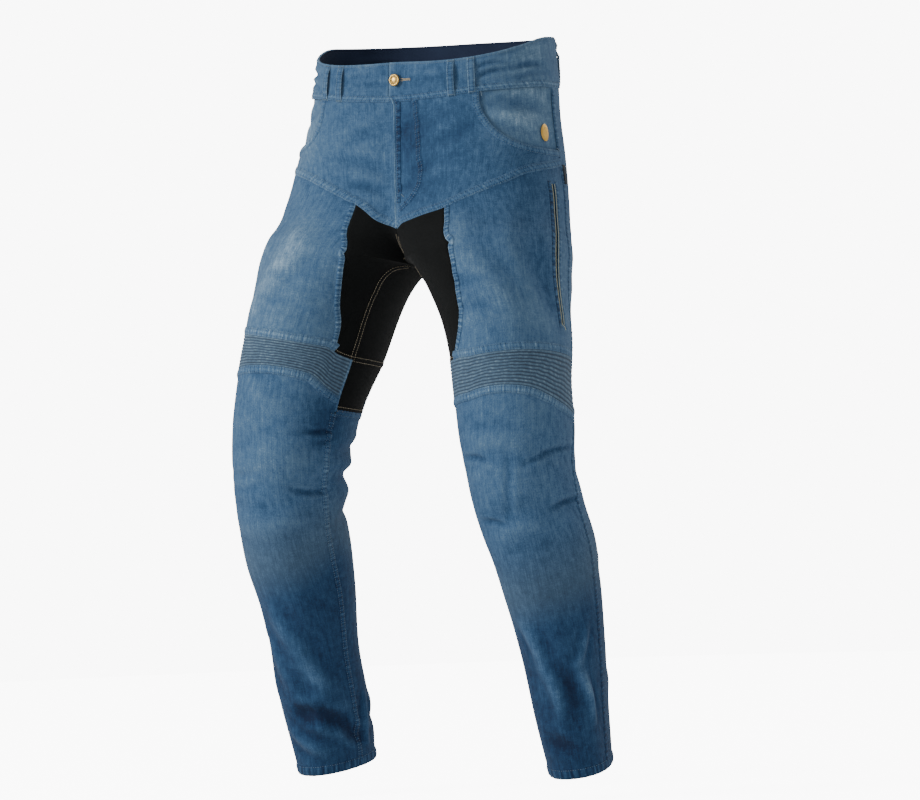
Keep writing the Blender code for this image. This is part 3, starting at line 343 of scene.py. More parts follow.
def levelPoints(now, drop, count):  # half a loop above the crotch, a whole one round the leg
    inner = now["cx"] - now["gap"]
    outer = now["out"] - now["cx"]
    start = 0.0
    if drop < form["crotch"]:
        start = np.arccos(np.clip((now["cx"] / inner) ** (now["power"] / 2), -1, 1))
    angle = np.linspace(start, 2 * pi - start, count * 4 + 1)
    c, s = np.cos(angle), np.sin(angle)
    root = 2 / now["power"]
    x = -np.where(c > 0, inner, outer) * np.sign(c) * np.abs(c) ** root
    y = -np.where(s > 0, now["front"], now["back"]) * np.sign(s) * np.abs(s) ** root
    free = np.clip((drop - form["crotch"]) / 0.14, 0, 1)
    free = free * free * (3 - 2 * free)
    near = np.clip(2 * (x + inner) / (inner + outer), 0, 1)
    near = near * near * (3 - 2 * near)
    turn = radians(now["turn"]) * (free + (1 - free) * near)
    tx = x * np.cos(turn) - y * np.sin(turn)
    ty = x * np.sin(turn) + y * np.cos(turn)
    z = tx * tan(radians(now["roll"])) - drop
    z += np.minimum(ty, 0) * tan(radians(now["tiltf"])) + np.maximum(ty, 0) * tan(radians(now["tiltb"]))
    points = np.stack([np.maximum(tx + now["cx"], 0), ty + now["cy"], z], 1)
    length = np.r_[0, np.cumsum(np.linalg.norm(np.diff(points, axis=0), axis=1))]
    even = np.linspace(0, length[-1], count + 1)
    return np.stack([np.interp(even, length, points[:, k]) for k in range(3)], 1), length[-1]


def softenCentres(points, length, drop):  # rounds off the valley at the front and back centre
    fade = np.clip((form["crotch"] - drop) / 0.05, 0, 1)
    reach = int(form["soften"] * fade / length * (len(points) - 1))
    if drop >= form["crotch"] or reach < 1:
        return points
    flip = np.array([-1, 1, 1])
    head = points[1:reach + 1][::-1] * flip
    tail = points[-reach - 1:-1][::-1] * flip
    wide = np.vstack([head, points, tail])
    kernel = np.hanning(2 * reach + 3)[1:-1]
    kernel /= kernel.sum()
    return np.stack([np.convolve(wide[:, k], kernel, mode="valid") for k in range(3)], 1)


# The level table bends at the crotch, and away from it that is rounded
def roundCrotchBend(rows, lattice):
    kernel = np.hanning(2 * crotchBend["rows"] + 3)[1:-1]
    wide = np.pad(lattice, ((crotchBend["rows"],) * 2, (0, 0), (0, 0)), mode="edge")
    soft = sum(share * wide[k:k + len(rows)] for k, share in enumerate(kernel / kernel.sum()))
    place = np.linspace(0, 1, lattice.shape[1])
    away = np.clip((np.minimum(place, 1 - place) - crotchBend["start"]) / crotchBend["ramp"], 0, 1)
    near = np.exp(-(rows / crotchBend["reach"]) ** 2)
    return lattice + (soft - lattice) * (near[:, None] * away * away * (3 - 2 * away))[..., None]


crotchBend = dict(rows=24, start=0.07, ramp=0.09, reach=0.05)


def buildSurface():
    table = np.array(levelTable, float)
    rows = np.linspace(rowOf(-0.012), rowOf(form["hem"] + 0.004), fineness["surfaceRows"])
    lattice = []
    for row in rows:
        drop = float(dropOf(row))
        points, length = levelPoints(levelAt(table, drop), drop, fineness["surfaceRound"])
        lattice.append(softenCentres(points, length, drop))
    lattice = roundCrotchBend(rows, np.array(lattice))
    across = np.gradient(lattice, axis=1)
    closing = (lattice[:, 1] - lattice[:, -2]) / 2
    leg = dropOf(rows) >= form["crotch"]
    across[leg, 0] = closing[leg]
    across[leg, -1] = closing[leg]
    normal = np.cross(np.gradient(lattice, axis=0), across)
    normal /= np.linalg.norm(normal, axis=2, keepdims=True) + 1e-12
    return rows, lattice, normal


surfaceRows, surfacePlaces, surfaceNormals = buildSurface()
print("surface built")


def readSurface(side, drop, around):  # place and outward normal; past the front centre it goes on
    drop, around = np.broadcast_arrays(np.asarray(drop, float), np.asarray(around, float))
    leg = drop >= form["crotch"]
    u = np.where(leg, np.mod(around, 1.0), np.abs(around))
    u = np.where(~leg & (u > 1), 2 - u, u)
    mirror = np.where(~leg & ((around < 0) | (around > 1)), -1.0, 1.0)
    rows, columns = surfacePlaces.shape[0] - 1, surfacePlaces.shape[1] - 1
    r = (rowOf(drop) - surfaceRows[0]) / (surfaceRows[-1] - surfaceRows[0]) * rows
    r = np.clip(r, 0, rows - 1e-6)
    c = np.clip(u * columns, 0, columns - 1e-6)
    i, j = r.astype(int), c.astype(int)
    fr, fc = (r - i)[..., None], (c - j)[..., None]

    def blend(grid):
        top = grid[i, j] * (1 - fc) + grid[i, j + 1] * fc
        low = grid[i + 1, j] * (1 - fc) + grid[i + 1, j + 1] * fc
        return top * (1 - fr) + low * fr

    place, normal = blend(surfacePlaces), blend(surfaceNormals)
    normal = normal / np.linalg.norm(normal, axis=-1, keepdims=True)
    flip = np.stack([mirror * side, np.ones_like(mirror), np.ones_like(mirror)], -1)
    return place * flip, normal * flip


def ease(t):
    t = np.clip(t, 0, 1)
    return t * t * (3 - 2 * t)


def shiftSeams(side, drop, around):
    table = np.array(seamShifts[side], float)
    stations, values = np.array(shiftRound, float).T
    fromFront = np.mod(around + 0.3, 1.0) - 0.3
    share = ease(np.interp(fromFront, stations, values))
    leg = ease((drop - form["crotch"] - 0.02) / 0.08)
    onLeg = np.interp(np.mod(around, 1.0), *np.array(shiftLeg, float).T)
    onHip = np.interp(np.mod(around, 1.0), *np.array(shiftHip, float).T)
    down = np.interp(drop, table[:, 0], table[:, 1]) * (onHip * (1 - leg) + onLeg * leg)
    centre = np.interp(drop, *np.array(shiftCentre,
                                       float).T) * ease(1 - np.abs(around) / centreReach)
    return drop + down, around + np.interp(drop, table[:, 0], table[:, 2]) * share + side * centre


def shiftLine(side, line):
    drop, around = shiftSeams(side, dropOf(line[:, 0]), line[:, 1])
    return np.stack([rowOf(drop), around], 1)


def girth(drop):  # rough length of one whole turn in the around direction
    return np.interp(drop, [0, 0.2, form["crotch"], 0.36, 0.45, 0.6, 0.8, 1.0],
                     [0.46, 0.56, 0.72, 0.64, 0.58, 0.49, 0.41, 0.34])


def turnFrom(around, centre):
    return np.mod(around - centre + 0.5, 1.0) - 0.5


def foldLift(side, drop, around):  # the main folds, as a height over the surface
    total = np.zeros(np.shape(drop))
    for which, atDrop, atRound, halfLong, halfWide, depth, angle in mainFolds:
        if which in (0, side):
            x = turnFrom(around, atRound) * girth(atDrop)
            y = drop - atDrop
            a = radians(angle)
            along = (x * cos(a) + y * sin(a)) / halfLong
            across = (y * cos(a) - x * sin(a)) / halfWide
            total = total + depth * np.exp(-along**2 - across**2)
    return total


def creaseLift(side, drop, around):  # troughs and ridges with a smaller swell on both sides
    total = np.zeros(np.shape(drop))
    for which, dropA, roundA, dropB, roundB, halfWide, depth in creases:
        if which in (0, side):
            scale = float(girth((dropA + dropB) / 2))
            dx, dy = (roundB - roundA) * scale, dropB - dropA
            long = np.hypot(dx, dy)
            x = turnFrom(around, roundA) * scale
            y = drop - dropA
            t = (x * dx + y * dy) / long**2
            bow = 0.06 * long * np.sin(pi * np.clip(t, 0, 1))
            off = (y * dx - x * dy) / long / halfWide + bow / halfWide
            ends = np.sin(pi * np.clip((t + 0.05) / 1.1, 0, 1)) ** 0.8
            beside = 0.50 * np.exp(-((np.abs(off) - 1.8) / 0.8) ** 2)
            total = total + creaseGain * depth * ends * (np.exp(-off**2) - beside)
    return total


def clothLift(side, drop, around):
    return foldLift(side, drop, around) + creaseLift(side, drop, around)


def washAndShadeField(side, drop, around):  # 0 is unwashed navy, 1 the palest denim; painted shade and highlight from folds and creases are added in
    levels = np.array(washLevels)
    total = np.interp(drop, levels[:, 0], levels[:, 1])
    # some spots are painted light on the wearer's right side and painted shade on the left
    for which, atDrop, atRound, halfDrop, halfRound, amount in washAndLightSpots:
        if which in (0, side):
            x = turnFrom(around, atRound) / halfRound
            y = (drop - atDrop) / halfDrop
            total = total + amount * np.exp(-x * x - y * y)
    line = np.array(darkBelow[side])
    wrapped = np.mod(around + 0.05, 1.0) - 0.05
    below = np.clip((drop - np.interp(wrapped, line[:, 0], line[:, 1])) / washAndShadeDepths["soft"] + 0.5,
                    0, 1)
    total = total - washAndShadeDepths["drop"] * below * below * (3 - 2 * below)
    # painted shade in the troughs of folds and creases and painted highlight on their ridges, added to
    # the wash
    total = total + washAndShadeDepths["fold"] * foldLift(side, drop, around)
    return total + washAndShadeDepths["creaseShading"] * creaseLift(side, drop, around)


def tintField(side, drop, around):  # the greenish, sandy cast over the shin
    line = np.array(darkBelow[side])
    wrapped = np.mod(around + 0.05, 1.0) - 0.05
    end = np.interp(wrapped, line[:, 0], line[:, 1])
    start = end - 0.10
    return np.clip((drop - start) / 0.06, 0, 1) * np.clip((end + 0.02 - drop) / 0.04, 0, 1)


def unevenWave(along, wave, seed):  # about -1 to 1, never quite repeating
    a = along / wave * 2 * pi
    total = np.sin(a + 1.4 * np.sin(0.21 * a + seed))
    total = total + 0.55 * np.sin(1.71 * a + 2.3 * seed) + 0.4 * np.sin(0.58 * a + 4.1 * seed)
    return total / 1.6


def coons(top, bottom, left, right):  # fills a four-sided outline of (row, round) points
    columns, rows = len(top), len(left)
    a = np.linspace(0, 1, columns)[None, :, None]
    b = np.linspace(0, 1, rows)[:, None, None]
    blend = (1 - b) * top[None] + b * bottom[None] + (1 - a) * left[:, None] + a * right[:, None]
    corners = ((1 - a) * (1 - b) * top[0] + a * (1 - b) * top[-1]
               + (1 - a) * b * bottom[0] + a * b * bottom[-1])
    return blend - corners


def goRound(seam, start, end, at):
    u = start + (end - start) * np.array(at, float)
    return np.stack([rowOf(seamRead(seams[seam], u)), u], 1)


def goDown(seam, start, end, at, shift=0.0, sign=1.0):
    row = rowOf(start) + (rowOf(end) - rowOf(start)) * np.array(at, float)
    return np.stack([row, sign * downRead(seams[seam], dropOf(row)) + shift], 1)


def goStraight(start, end, around, at):
    row = rowOf(start) + (rowOf(end) - rowOf(start)) * np.array(at, float)
    return np.stack([row, np.full(len(row), float(around))], 1)


def goAlong(points, at):
    points = np.array(points, float)
    steps = np.hypot(np.diff(points[:, 0]), np.diff(points[:, 1]) * 0.5)
    length = np.r_[0, np.cumsum(steps)] / steps.sum()
    read = smoothRead(length, points, slopes(length, points), np.array(at, float))
    return np.stack([rowOf(read[:, 0]), read[:, 1]], 1)


def corner(roundSeam, downSeam, drop):
    for _ in range(12):
        drop = float(seamRead(seams[roundSeam], seamRead(seams[downSeam], drop)))
    return drop, float(seamRead(seams[downSeam], drop))


def shares(count):
    return np.linspace(0, 1, int(count) + 1)


def join(*edges):
    return np.vstack([edges[0]] + [edge[1:] for edge in edges[1:]])


def cells(length):
    return max(4, round(length / fineness["cell"] / (1.0)))


def sideName(side):
    return "Left" if side > 0 else "Right"


def nodeName(name, side):
    return name + ("_left" if side > 0 else "_right")


# Nodes are added by kind, with their inputs given as values or as sockets
def addNode(tree, kind, sockets=None, **settings):
    made = tree.nodes.new(kind)
    for key, value in settings.items():
        setattr(made, key, value)
    for key, value in (sockets or {}).items():
        if isinstance(value, bpy.types.NodeSocket):
            tree.links.new(value, made.inputs[key])
        else:
            made.inputs[key].default_value = value
    return made


def maths(tree, operation, a, b, clamp=False):
    return addNode(tree, "ShaderNodeMath", {0: a, 1: b}, operation=operation,
                   use_clamp=clamp).outputs[0]


def centred(tree, value, amount):  # takes 0 to 1 to a swing about zero
    return maths(tree, "MULTIPLY", maths(tree, "SUBTRACT", value, 0.5), amount)


def startGroup(name, inputs, outputs):
    group = bpy.data.node_groups.new(name, "ShaderNodeTree")
    for label, kind, value in inputs:
        socket = group.interface.new_socket(name=label, in_out="INPUT", socket_type=kind)
        socket.default_value = value
    for label, kind in outputs:
        group.interface.new_socket(name=label, in_out="OUTPUT", socket_type=kind)
    return group, group.nodes.new("NodeGroupInput"), group.nodes.new("NodeGroupOutput")


def patternNoise(tree, vector, scale, detail=3.0, roughness=0.55):
    stretched = addNode(tree, "ShaderNodeMapping", {"Vector": vector, "Scale": scale},
                        vector_type="POINT")
    noise = addNode(tree, "ShaderNodeTexNoise",
                    {"Vector": stretched.outputs[0], "Scale": 1.0, "Detail": detail,
                     "Roughness": roughness})
    return noise.outputs["Fac"]


washColours = [  # share of fading, colour in linear light
    (0.00, (0.0025, 0.0120, 0.0400)),
    (0.20, (0.0060, 0.0320, 0.0850)),
    (0.40, (0.0180, 0.0600, 0.1300)),
    (0.55, (0.0420, 0.0980, 0.1850)),
    (0.70, (0.0700, 0.1350, 0.2200)),
    (0.85, (0.1300, 0.2150, 0.3100)),
    (1.00, (0.2600, 0.3700, 0.4700)),
]
denimWeave = dict(streak=(520, 20, 1), pick=(30, 600, 1), fleck=(900, 520, 1), blotch=(34, 34, 34),
                  mottle=(150, 90, 1), cloud=(9, 9, 9), twillScale=480.0)


def makeDenimGroup():
    # Fade in, colour and height out: twill lines, slubs along the legs, flecks and blotches
    group, given, result = startGroup(
        "denimWash",
        [("Fade", "NodeSocketFloat", 0.5), ("Tint", "NodeSocketFloat", 0.0),
         ("Streaks", "NodeSocketFloat", 0.2),
         ("Flecks", "NodeSocketFloat", 0.2)],
        [("Colour", "NodeSocketColor"), ("Height", "NodeSocketFloat")])
    cloth = addNode(group, "ShaderNodeUVMap", uv_map="cloth").outputs[0]
    solid = addNode(group, "ShaderNodeTexCoord").outputs["Object"]
    streak = patternNoise(group, cloth, denimWeave["streak"], 4.0)
    pick = patternNoise(group, cloth, denimWeave["pick"], 2.0)
    fleck = patternNoise(group, cloth, denimWeave["fleck"], 2.0)
    blotch = patternNoise(group, solid, denimWeave["blotch"], 5.0, 0.62)
    mottle = patternNoise(group, cloth, denimWeave["mottle"], 4.0, 0.6)
    cloud = patternNoise(group, solid, denimWeave["cloud"], 3.0)
    twill = addNode(group, "ShaderNodeTexWave",
                    {"Vector": cloth, "Scale": denimWeave["twillScale"], "Distortion": 1.5,
                     "Detail": 1.0},
                    wave_type="BANDS", bands_direction="DIAGONAL").outputs["Fac"]
    total = maths(group, "ADD", given.outputs["Fade"],
                  maths(group, "MULTIPLY", maths(group, "SUBTRACT", streak, 0.5),
                        given.outputs["Streaks"]))
    total = maths(group, "ADD", total,
                  maths(group, "MULTIPLY", maths(group, "SUBTRACT", fleck, 0.5),
                        given.outputs["Flecks"]))
    total = maths(group, "ADD", total, centred(group, pick, 0.14))
    total = maths(group, "ADD", total, centred(group, blotch, 0.26))
    total = maths(group, "ADD", total, centred(group, mottle, 0.50))
    total = maths(group, "ADD", total, centred(group, cloud, 0.16))
    total = maths(group, "ADD", total, centred(group, twill, 0.05))
    ramp = addNode(group, "ShaderNodeValToRGB", {"Fac": total})
    stops = ramp.color_ramp.elements
    while len(stops) < len(washColours):
        stops.new(0.5)
    for stop, (share, colour) in zip(stops, washColours):
        stop.position = share
        stop.color = (*colour, 1)
    sandy = addNode(group, "ShaderNodeMix",
                    {"Factor": given.outputs["Tint"], "A": ramp.outputs["Color"],
                     "B": (0.085, 0.110, 0.118, 1)},
                    data_type="RGBA", blend_type="MIX")
    link = group.links.new
    link(sandy.outputs["Result"] if "Result" in sandy.outputs else sandy.outputs[2],
         result.inputs["Colour"])
    height = maths(group, "ADD", maths(group, "MULTIPLY", twill, 0.45),
                   maths(group, "MULTIPLY", fleck, 0.35))
    height = maths(group, "ADD", height, maths(group, "MULTIPLY", streak, 0.35))
    link(height, result.inputs["Height"])
    return group


def mixColours(tree, factor, a, b):
    mix = tree.nodes.new("ShaderNodeMix")
    mix.data_type = "RGBA"
    for index, value in ((0, factor), (6, a), (7, b)):
        if isinstance(value, bpy.types.NodeSocket):
            tree.links.new(value, mix.inputs[index])
        else:
            mix.inputs[index].default_value = value
    return mix.outputs[2]


def startMaterial(name, shader):
    made = bpy.data.materials.new(name)
    made.use_nodes = True
    tree = made.node_tree
    surface = tree.nodes["Principled BSDF"]
    for key, value in shader.items():
        surface.inputs[key].default_value = value
    return made, tree, surface


def bumpInto(tree, surface, height, strength, distance):
    bump = addNode(tree, "ShaderNodeBump", {"Height": height, "Strength": strength,
                                            "Distance": distance})
    tree.links.new(bump.outputs[0], surface.inputs["Normal"])


denimLooks = dict(
    washedDenim=dict(streaks=0.36, flecks=0.50, bump=0.45, distance=0.0005, roughness=0.88,
                     sheen=0.08),
    ribDenim=dict(streaks=0.20, flecks=0.60, bump=0.45, distance=0.0005, roughness=0.90,
                  sheen=0.08),
    seamDenim=dict(streaks=0.20, flecks=0.60, bump=0.45, distance=0.0005, roughness=0.90,
                   sheen=0.08),
)


def makeDenim(name, group):
    look = denimLooks[name]
    made, tree, surface = startMaterial(name, {
        "Roughness": look["roughness"], "Sheen Weight": look["sheen"], "Sheen Roughness": 0.45,
        "Sheen Tint": (0.62, 0.72, 0.85, 1), "Specular IOR Level": 0.25})
    # fade carries the wash together with painted shade and highlight from folds, creases, puckers and
    # seam edges
    fade = addNode(tree, "ShaderNodeAttribute", attribute_name="fade",
                   attribute_type="GEOMETRY").outputs["Fac"]
    tint = addNode(tree, "ShaderNodeAttribute", attribute_name="tint",
                   attribute_type="GEOMETRY").outputs["Fac"]
    wash = addNode(tree, "ShaderNodeGroup", node_tree=group)
    tree.links.new(fade, wash.inputs["Fade"])
    tree.links.new(tint, wash.inputs["Tint"])
    wash.inputs["Streaks"].default_value = look["streaks"]
    wash.inputs["Flecks"].default_value = look["flecks"]
    tree.links.new(wash.outputs["Colour"], surface.inputs["Base Color"])
    bumpInto(tree, surface, wash.outputs["Height"], look["bump"], look["distance"])
    return made


def makeKnit(name, dark, light, scale, roughness):
    # Fine knitted or woven cloth in one colour: small ribs, with a little uneven shine
    made, tree, surface = startMaterial(name, {
        "Roughness": roughness, "Sheen Weight": 0.03, "Sheen Roughness": 0.4,
        "Specular IOR Level": 0.12})
    cloth = addNode(tree, "ShaderNodeUVMap", uv_map="cloth").outputs[0]
    solid = addNode(tree, "ShaderNodeTexCoord").outputs["Object"]
    rib = addNode(tree, "ShaderNodeTexWave", {"Vector": cloth, "Scale": scale, "Distortion": 0.8},
                  wave_type="BANDS", bands_direction="X").outputs["Fac"]
    fleck = patternNoise(tree, cloth, (900, 1100, 1), 2.0)
    blotch = patternNoise(tree, solid, (30, 30, 30), 4.0)
    share = maths(tree, "ADD", centred(tree, rib, 0.35), fleck)
    share = maths(tree, "ADD", share, centred(tree, blotch, 0.8), clamp=True)
    tree.links.new(mixColours(tree, share, (*dark, 1), (*light, 1)), surface.inputs["Base Color"])
    bumpInto(tree, surface, maths(tree, "ADD", rib, fleck), 0.4, 0.0003)
    return made


def makeThread(name, dark, light):
    # Sewing thread: a twisted ply with uneven colour from stitch to stitch
    made, tree, surface = startMaterial(name, {
        "Roughness": 0.62, "Sheen Weight": 0.15, "Specular IOR Level": 0.35})
    solid = addNode(tree, "ShaderNodeTexCoord").outputs["Object"]
    ply = addNode(tree, "ShaderNodeTexWave", {"Vector": solid, "Scale": 900.0, "Distortion": 1.0},
                  wave_type="BANDS", bands_direction="DIAGONAL").outputs["Fac"]
    patch = patternNoise(tree, solid, (260, 260, 260), 2.0)
    share = maths(tree, "ADD", centred(tree, ply, 0.4), patch, clamp=True)
    tree.links.new(mixColours(tree, share, (*dark, 1), (*light, 1)), surface.inputs["Base Color"])
    bumpInto(tree, surface, ply, 0.4, 0.0002)
    return made


def makeBrass(name, dark, light, roughness):
    # Worn brass: tarnish in blotches, fine scratches
    made, tree, surface = startMaterial(name, {"Metallic": 1.0, "Specular IOR Level": 0.5})
    solid = addNode(tree, "ShaderNodeTexCoord").outputs["Object"]
    tarnish = patternNoise(tree, solid, (420, 420, 420), 4.0, 0.6)
    scratch = patternNoise(tree, solid, (3000, 500, 900), 2.0)
    share = maths(tree, "ADD", tarnish, centred(tree, scratch, 0.5), clamp=True)
    tree.links.new(mixColours(tree, share, (*dark, 1), (*light, 1)), surface.inputs["Base Color"])
    gloss = maths(tree, "ADD", roughness, centred(tree, tarnish, 0.3), clamp=True)
    tree.links.new(gloss, surface.inputs["Roughness"])
    bumpInto(tree, surface, scratch, 0.15, 0.0002)
    return made


denimGroup = makeDenimGroup()
cloths = {name: makeDenim(name, denimGroup) for name in denimLooks}
cloths["insideNavy"] = makeKnit("insideNavy", (0.010, 0.016, 0.036), (0.024, 0.036, 0.072), 420.0,
                                0.9)
cloths["blackStretch"] = makeKnit("blackStretch", (0.0014, 0.0017, 0.0017),
                                  (0.0055, 0.0062, 0.0062), 520.0, 0.92)
cloths["zipTape"] = makeKnit("zipTape", (0.0030, 0.0030, 0.0035), (0.0110, 0.0110, 0.0120), 700.0,
                             0.7)
cloths["wovenTab"] = makeKnit("wovenTab", (0.014, 0.018, 0.026), (0.040, 0.048, 0.060), 600.0, 0.75)
cloths["tonalThread"] = makeThread("tonalThread", (0.050, 0.090, 0.140), (0.150, 0.215, 0.280))
cloths["darkThread"] = makeThread("darkThread", (0.012, 0.026, 0.050), (0.035, 0.062, 0.100))
cloths["beigeThread"] = makeThread("beigeThread", (0.230, 0.190, 0.125), (0.500, 0.430, 0.310))
cloths["limeThread"] = makeThread("limeThread", (0.300, 0.330, 0.230), (0.560, 0.580, 0.450))
cloths["wornBrass"] = makeBrass("wornBrass", (0.300, 0.170, 0.040), (0.640, 0.440, 0.150), 0.36)
cloths["goldBadge"] = makeBrass("goldBadge", (0.560, 0.300, 0.050), (0.850, 0.560, 0.160), 0.42)
cloths["zipCoil"] = startMaterial("zipCoil", {"Base Color": (0.012, 0.012, 0.013, 1),
                                              "Roughness": 0.4})[0]
print("materials ready")


def linkPiece(name, mesh, slot, *materials):
    for item in materials:
        mesh.materials.append(item)
    piece = bpy.data.objects.new(name, mesh)
    bpy.context.scene.collection.objects.link(piece)
    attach(piece, "root")
    return piece


def gridMesh(name, points, chart, masks, outwards, hole=None):
    # A grid laid through the points, with its chart in metres and its masks
    rows, columns = points.shape[:2]
    bm = bmesh.new()
    bmesh.ops.create_grid(bm, x_segments=columns - 1, y_segments=rows - 1, size=1)
    if hole is not None:
        bm.faces.ensure_lookup_table()
        gone = []
        for face in bm.faces:
            middle = face.calc_center_median()
            j = int((middle.x + 1) / 2 * (columns - 1))
            i = int((middle.y + 1) / 2 * (rows - 1))
            if hole[i, j]:
                gone.append(face)
        bmesh.ops.delete(bm, geom=gone, context="FACES")
    mesh = bpy.data.meshes.new(name)
    bm.to_mesh(mesh)
    bm.free()
    flat = np.empty(len(mesh.vertices) * 3)
    mesh.vertices.foreach_get("co", flat)
    flat = flat.reshape(-1, 3)
    j = np.rint((flat[:, 0] + 1) / 2 * (columns - 1)).astype(int)
    i = np.rint((flat[:, 1] + 1) / 2 * (rows - 1)).astype(int)
    mesh.vertices.foreach_set("co", points[i, j].ravel())
    corners = np.empty(len(mesh.loops), dtype=np.int32)
    mesh.loops.foreach_get("vertex_index", corners)
    layer = mesh.uv_layers.new(name="cloth")
    layer.data.foreach_set("uv", chart[i, j][corners].ravel())
    for key, values in masks.items():
        attribute = mesh.attributes.new(key, "FLOAT", "POINT")
        attribute.data.foreach_set("value", np.ascontiguousarray(values[i, j], dtype=np.float32))
    mesh.update()
    facing = np.empty(len(mesh.polygons) * 3)
    mesh.polygons.foreach_get("normal", facing)
    if np.sum(facing.reshape(-1, 3).mean(axis=0) * outwards) < 0:
        mesh.flip_normals()
    mesh.shade_smooth()
    return mesh


def thicken(piece, wall, inside=0):
    solid = piece.modifiers.new("wall", "SOLIDIFY")
    solid.thickness = wall
    solid.offset = -1
    solid.use_even_offset = False
    solid.material_offset = inside
    solid.material_offset_rim = 0


def chartOf(drop, around, slide=0.0):
    return np.stack([around * 0.5 + slide, drop], -1)


def measuredChart(away, drop, edge):  # metres across the cloth, from one edge or from its middle
    across = (away["left"] - away["right"]) / 2
    if edge:
        across = away[edge]
    return np.stack([across, drop], -1)


def edgeDistances(points):
    down = np.linalg.norm(np.diff(points, axis=0), axis=2)
    across = np.linalg.norm(np.diff(points, axis=1), axis=2)
    top = np.vstack([np.zeros((1, points.shape[1])), np.cumsum(down, axis=0)])
    left = np.hstack([np.zeros((points.shape[0], 1)), np.cumsum(across, axis=1)])
    return dict(top=top, low=top[-1:] - top, left=left, right=left[:, -1:] - left)


pucker = dict(reach=0.009, wave=0.0125)


def clothPanel(name, node, side, grid, look, hole=None):
    # A panel of cloth on the surface: folds, creases, small puckers along its sewn edges, wash, and
    # painted shade and highlight from its folds, puckers and chosen edges
    drop, around = shiftSeams(side, dropOf(grid[..., 0]), grid[..., 1])
    place, normal = readSurface(side, drop, around)
    away = edgeDistances(place)
    lift = clothLift(side, drop, around) + look.get("lift", 0.0)
    pulled = np.zeros(np.shape(drop))
    for number, (edge, amount) in enumerate(look.get("pull", {}).items()):
        along = away["left"] if edge in ("top", "low") else away["top"]
        wave = unevenWave(along + 0.4 * away[edge], pucker["wave"],
                          number * 1.7 + side + look.get("seed", 0))
        pulled += amount * wave * np.exp(-away[edge] / pucker["reach"])
    for edge, amount in look.get("roll", {}).items():
        lift = lift - amount * np.exp(-(away[edge] / 0.0014) ** 2)
    for edge, (amount, reach) in look.get("raised", {}).items():
        lift = lift + amount * np.clip(1 - away[edge] / reach, 0, 1)
    points = place + normal * (lift + pulled)[..., None]
    # pulled puckers also paint shade in their dips and highlight on their crests
    fade = washAndShadeField(side, drop, around) + look.get("fade", 0.0) + washAndShadeDepths["pull"] * pulled
    # painted shade (negative amounts) and painted highlight (positive amounts) in a strip along chosen
    # edges
    for edge, (amount, reach) in look.get("paintedEdgeShading", {}).items():
        fade = fade + amount * np.exp(-(away[edge] / reach) ** 2)
    masks = dict(fade=np.clip(fade, 0, 1), tint=washAndShadeDepths["tint"] * tintField(side, drop, around))
    chart = measuredChart(away, drop, look.get("grain"))
    mesh = gridMesh(name, points, chart, masks, normal.mean(axis=(0, 1)), hole)
    slot = look.get("slot", "denim")
    piece = linkPiece(name, mesh, slot, cloths[look.get("cloth", "washedDenim")],
                      cloths[look.get("inside", "insideNavy")])
    thicken(piece, look.get("wall", 0.0015), 1)
    if node:
        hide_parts(node)
    return piece


stitchBank = {}


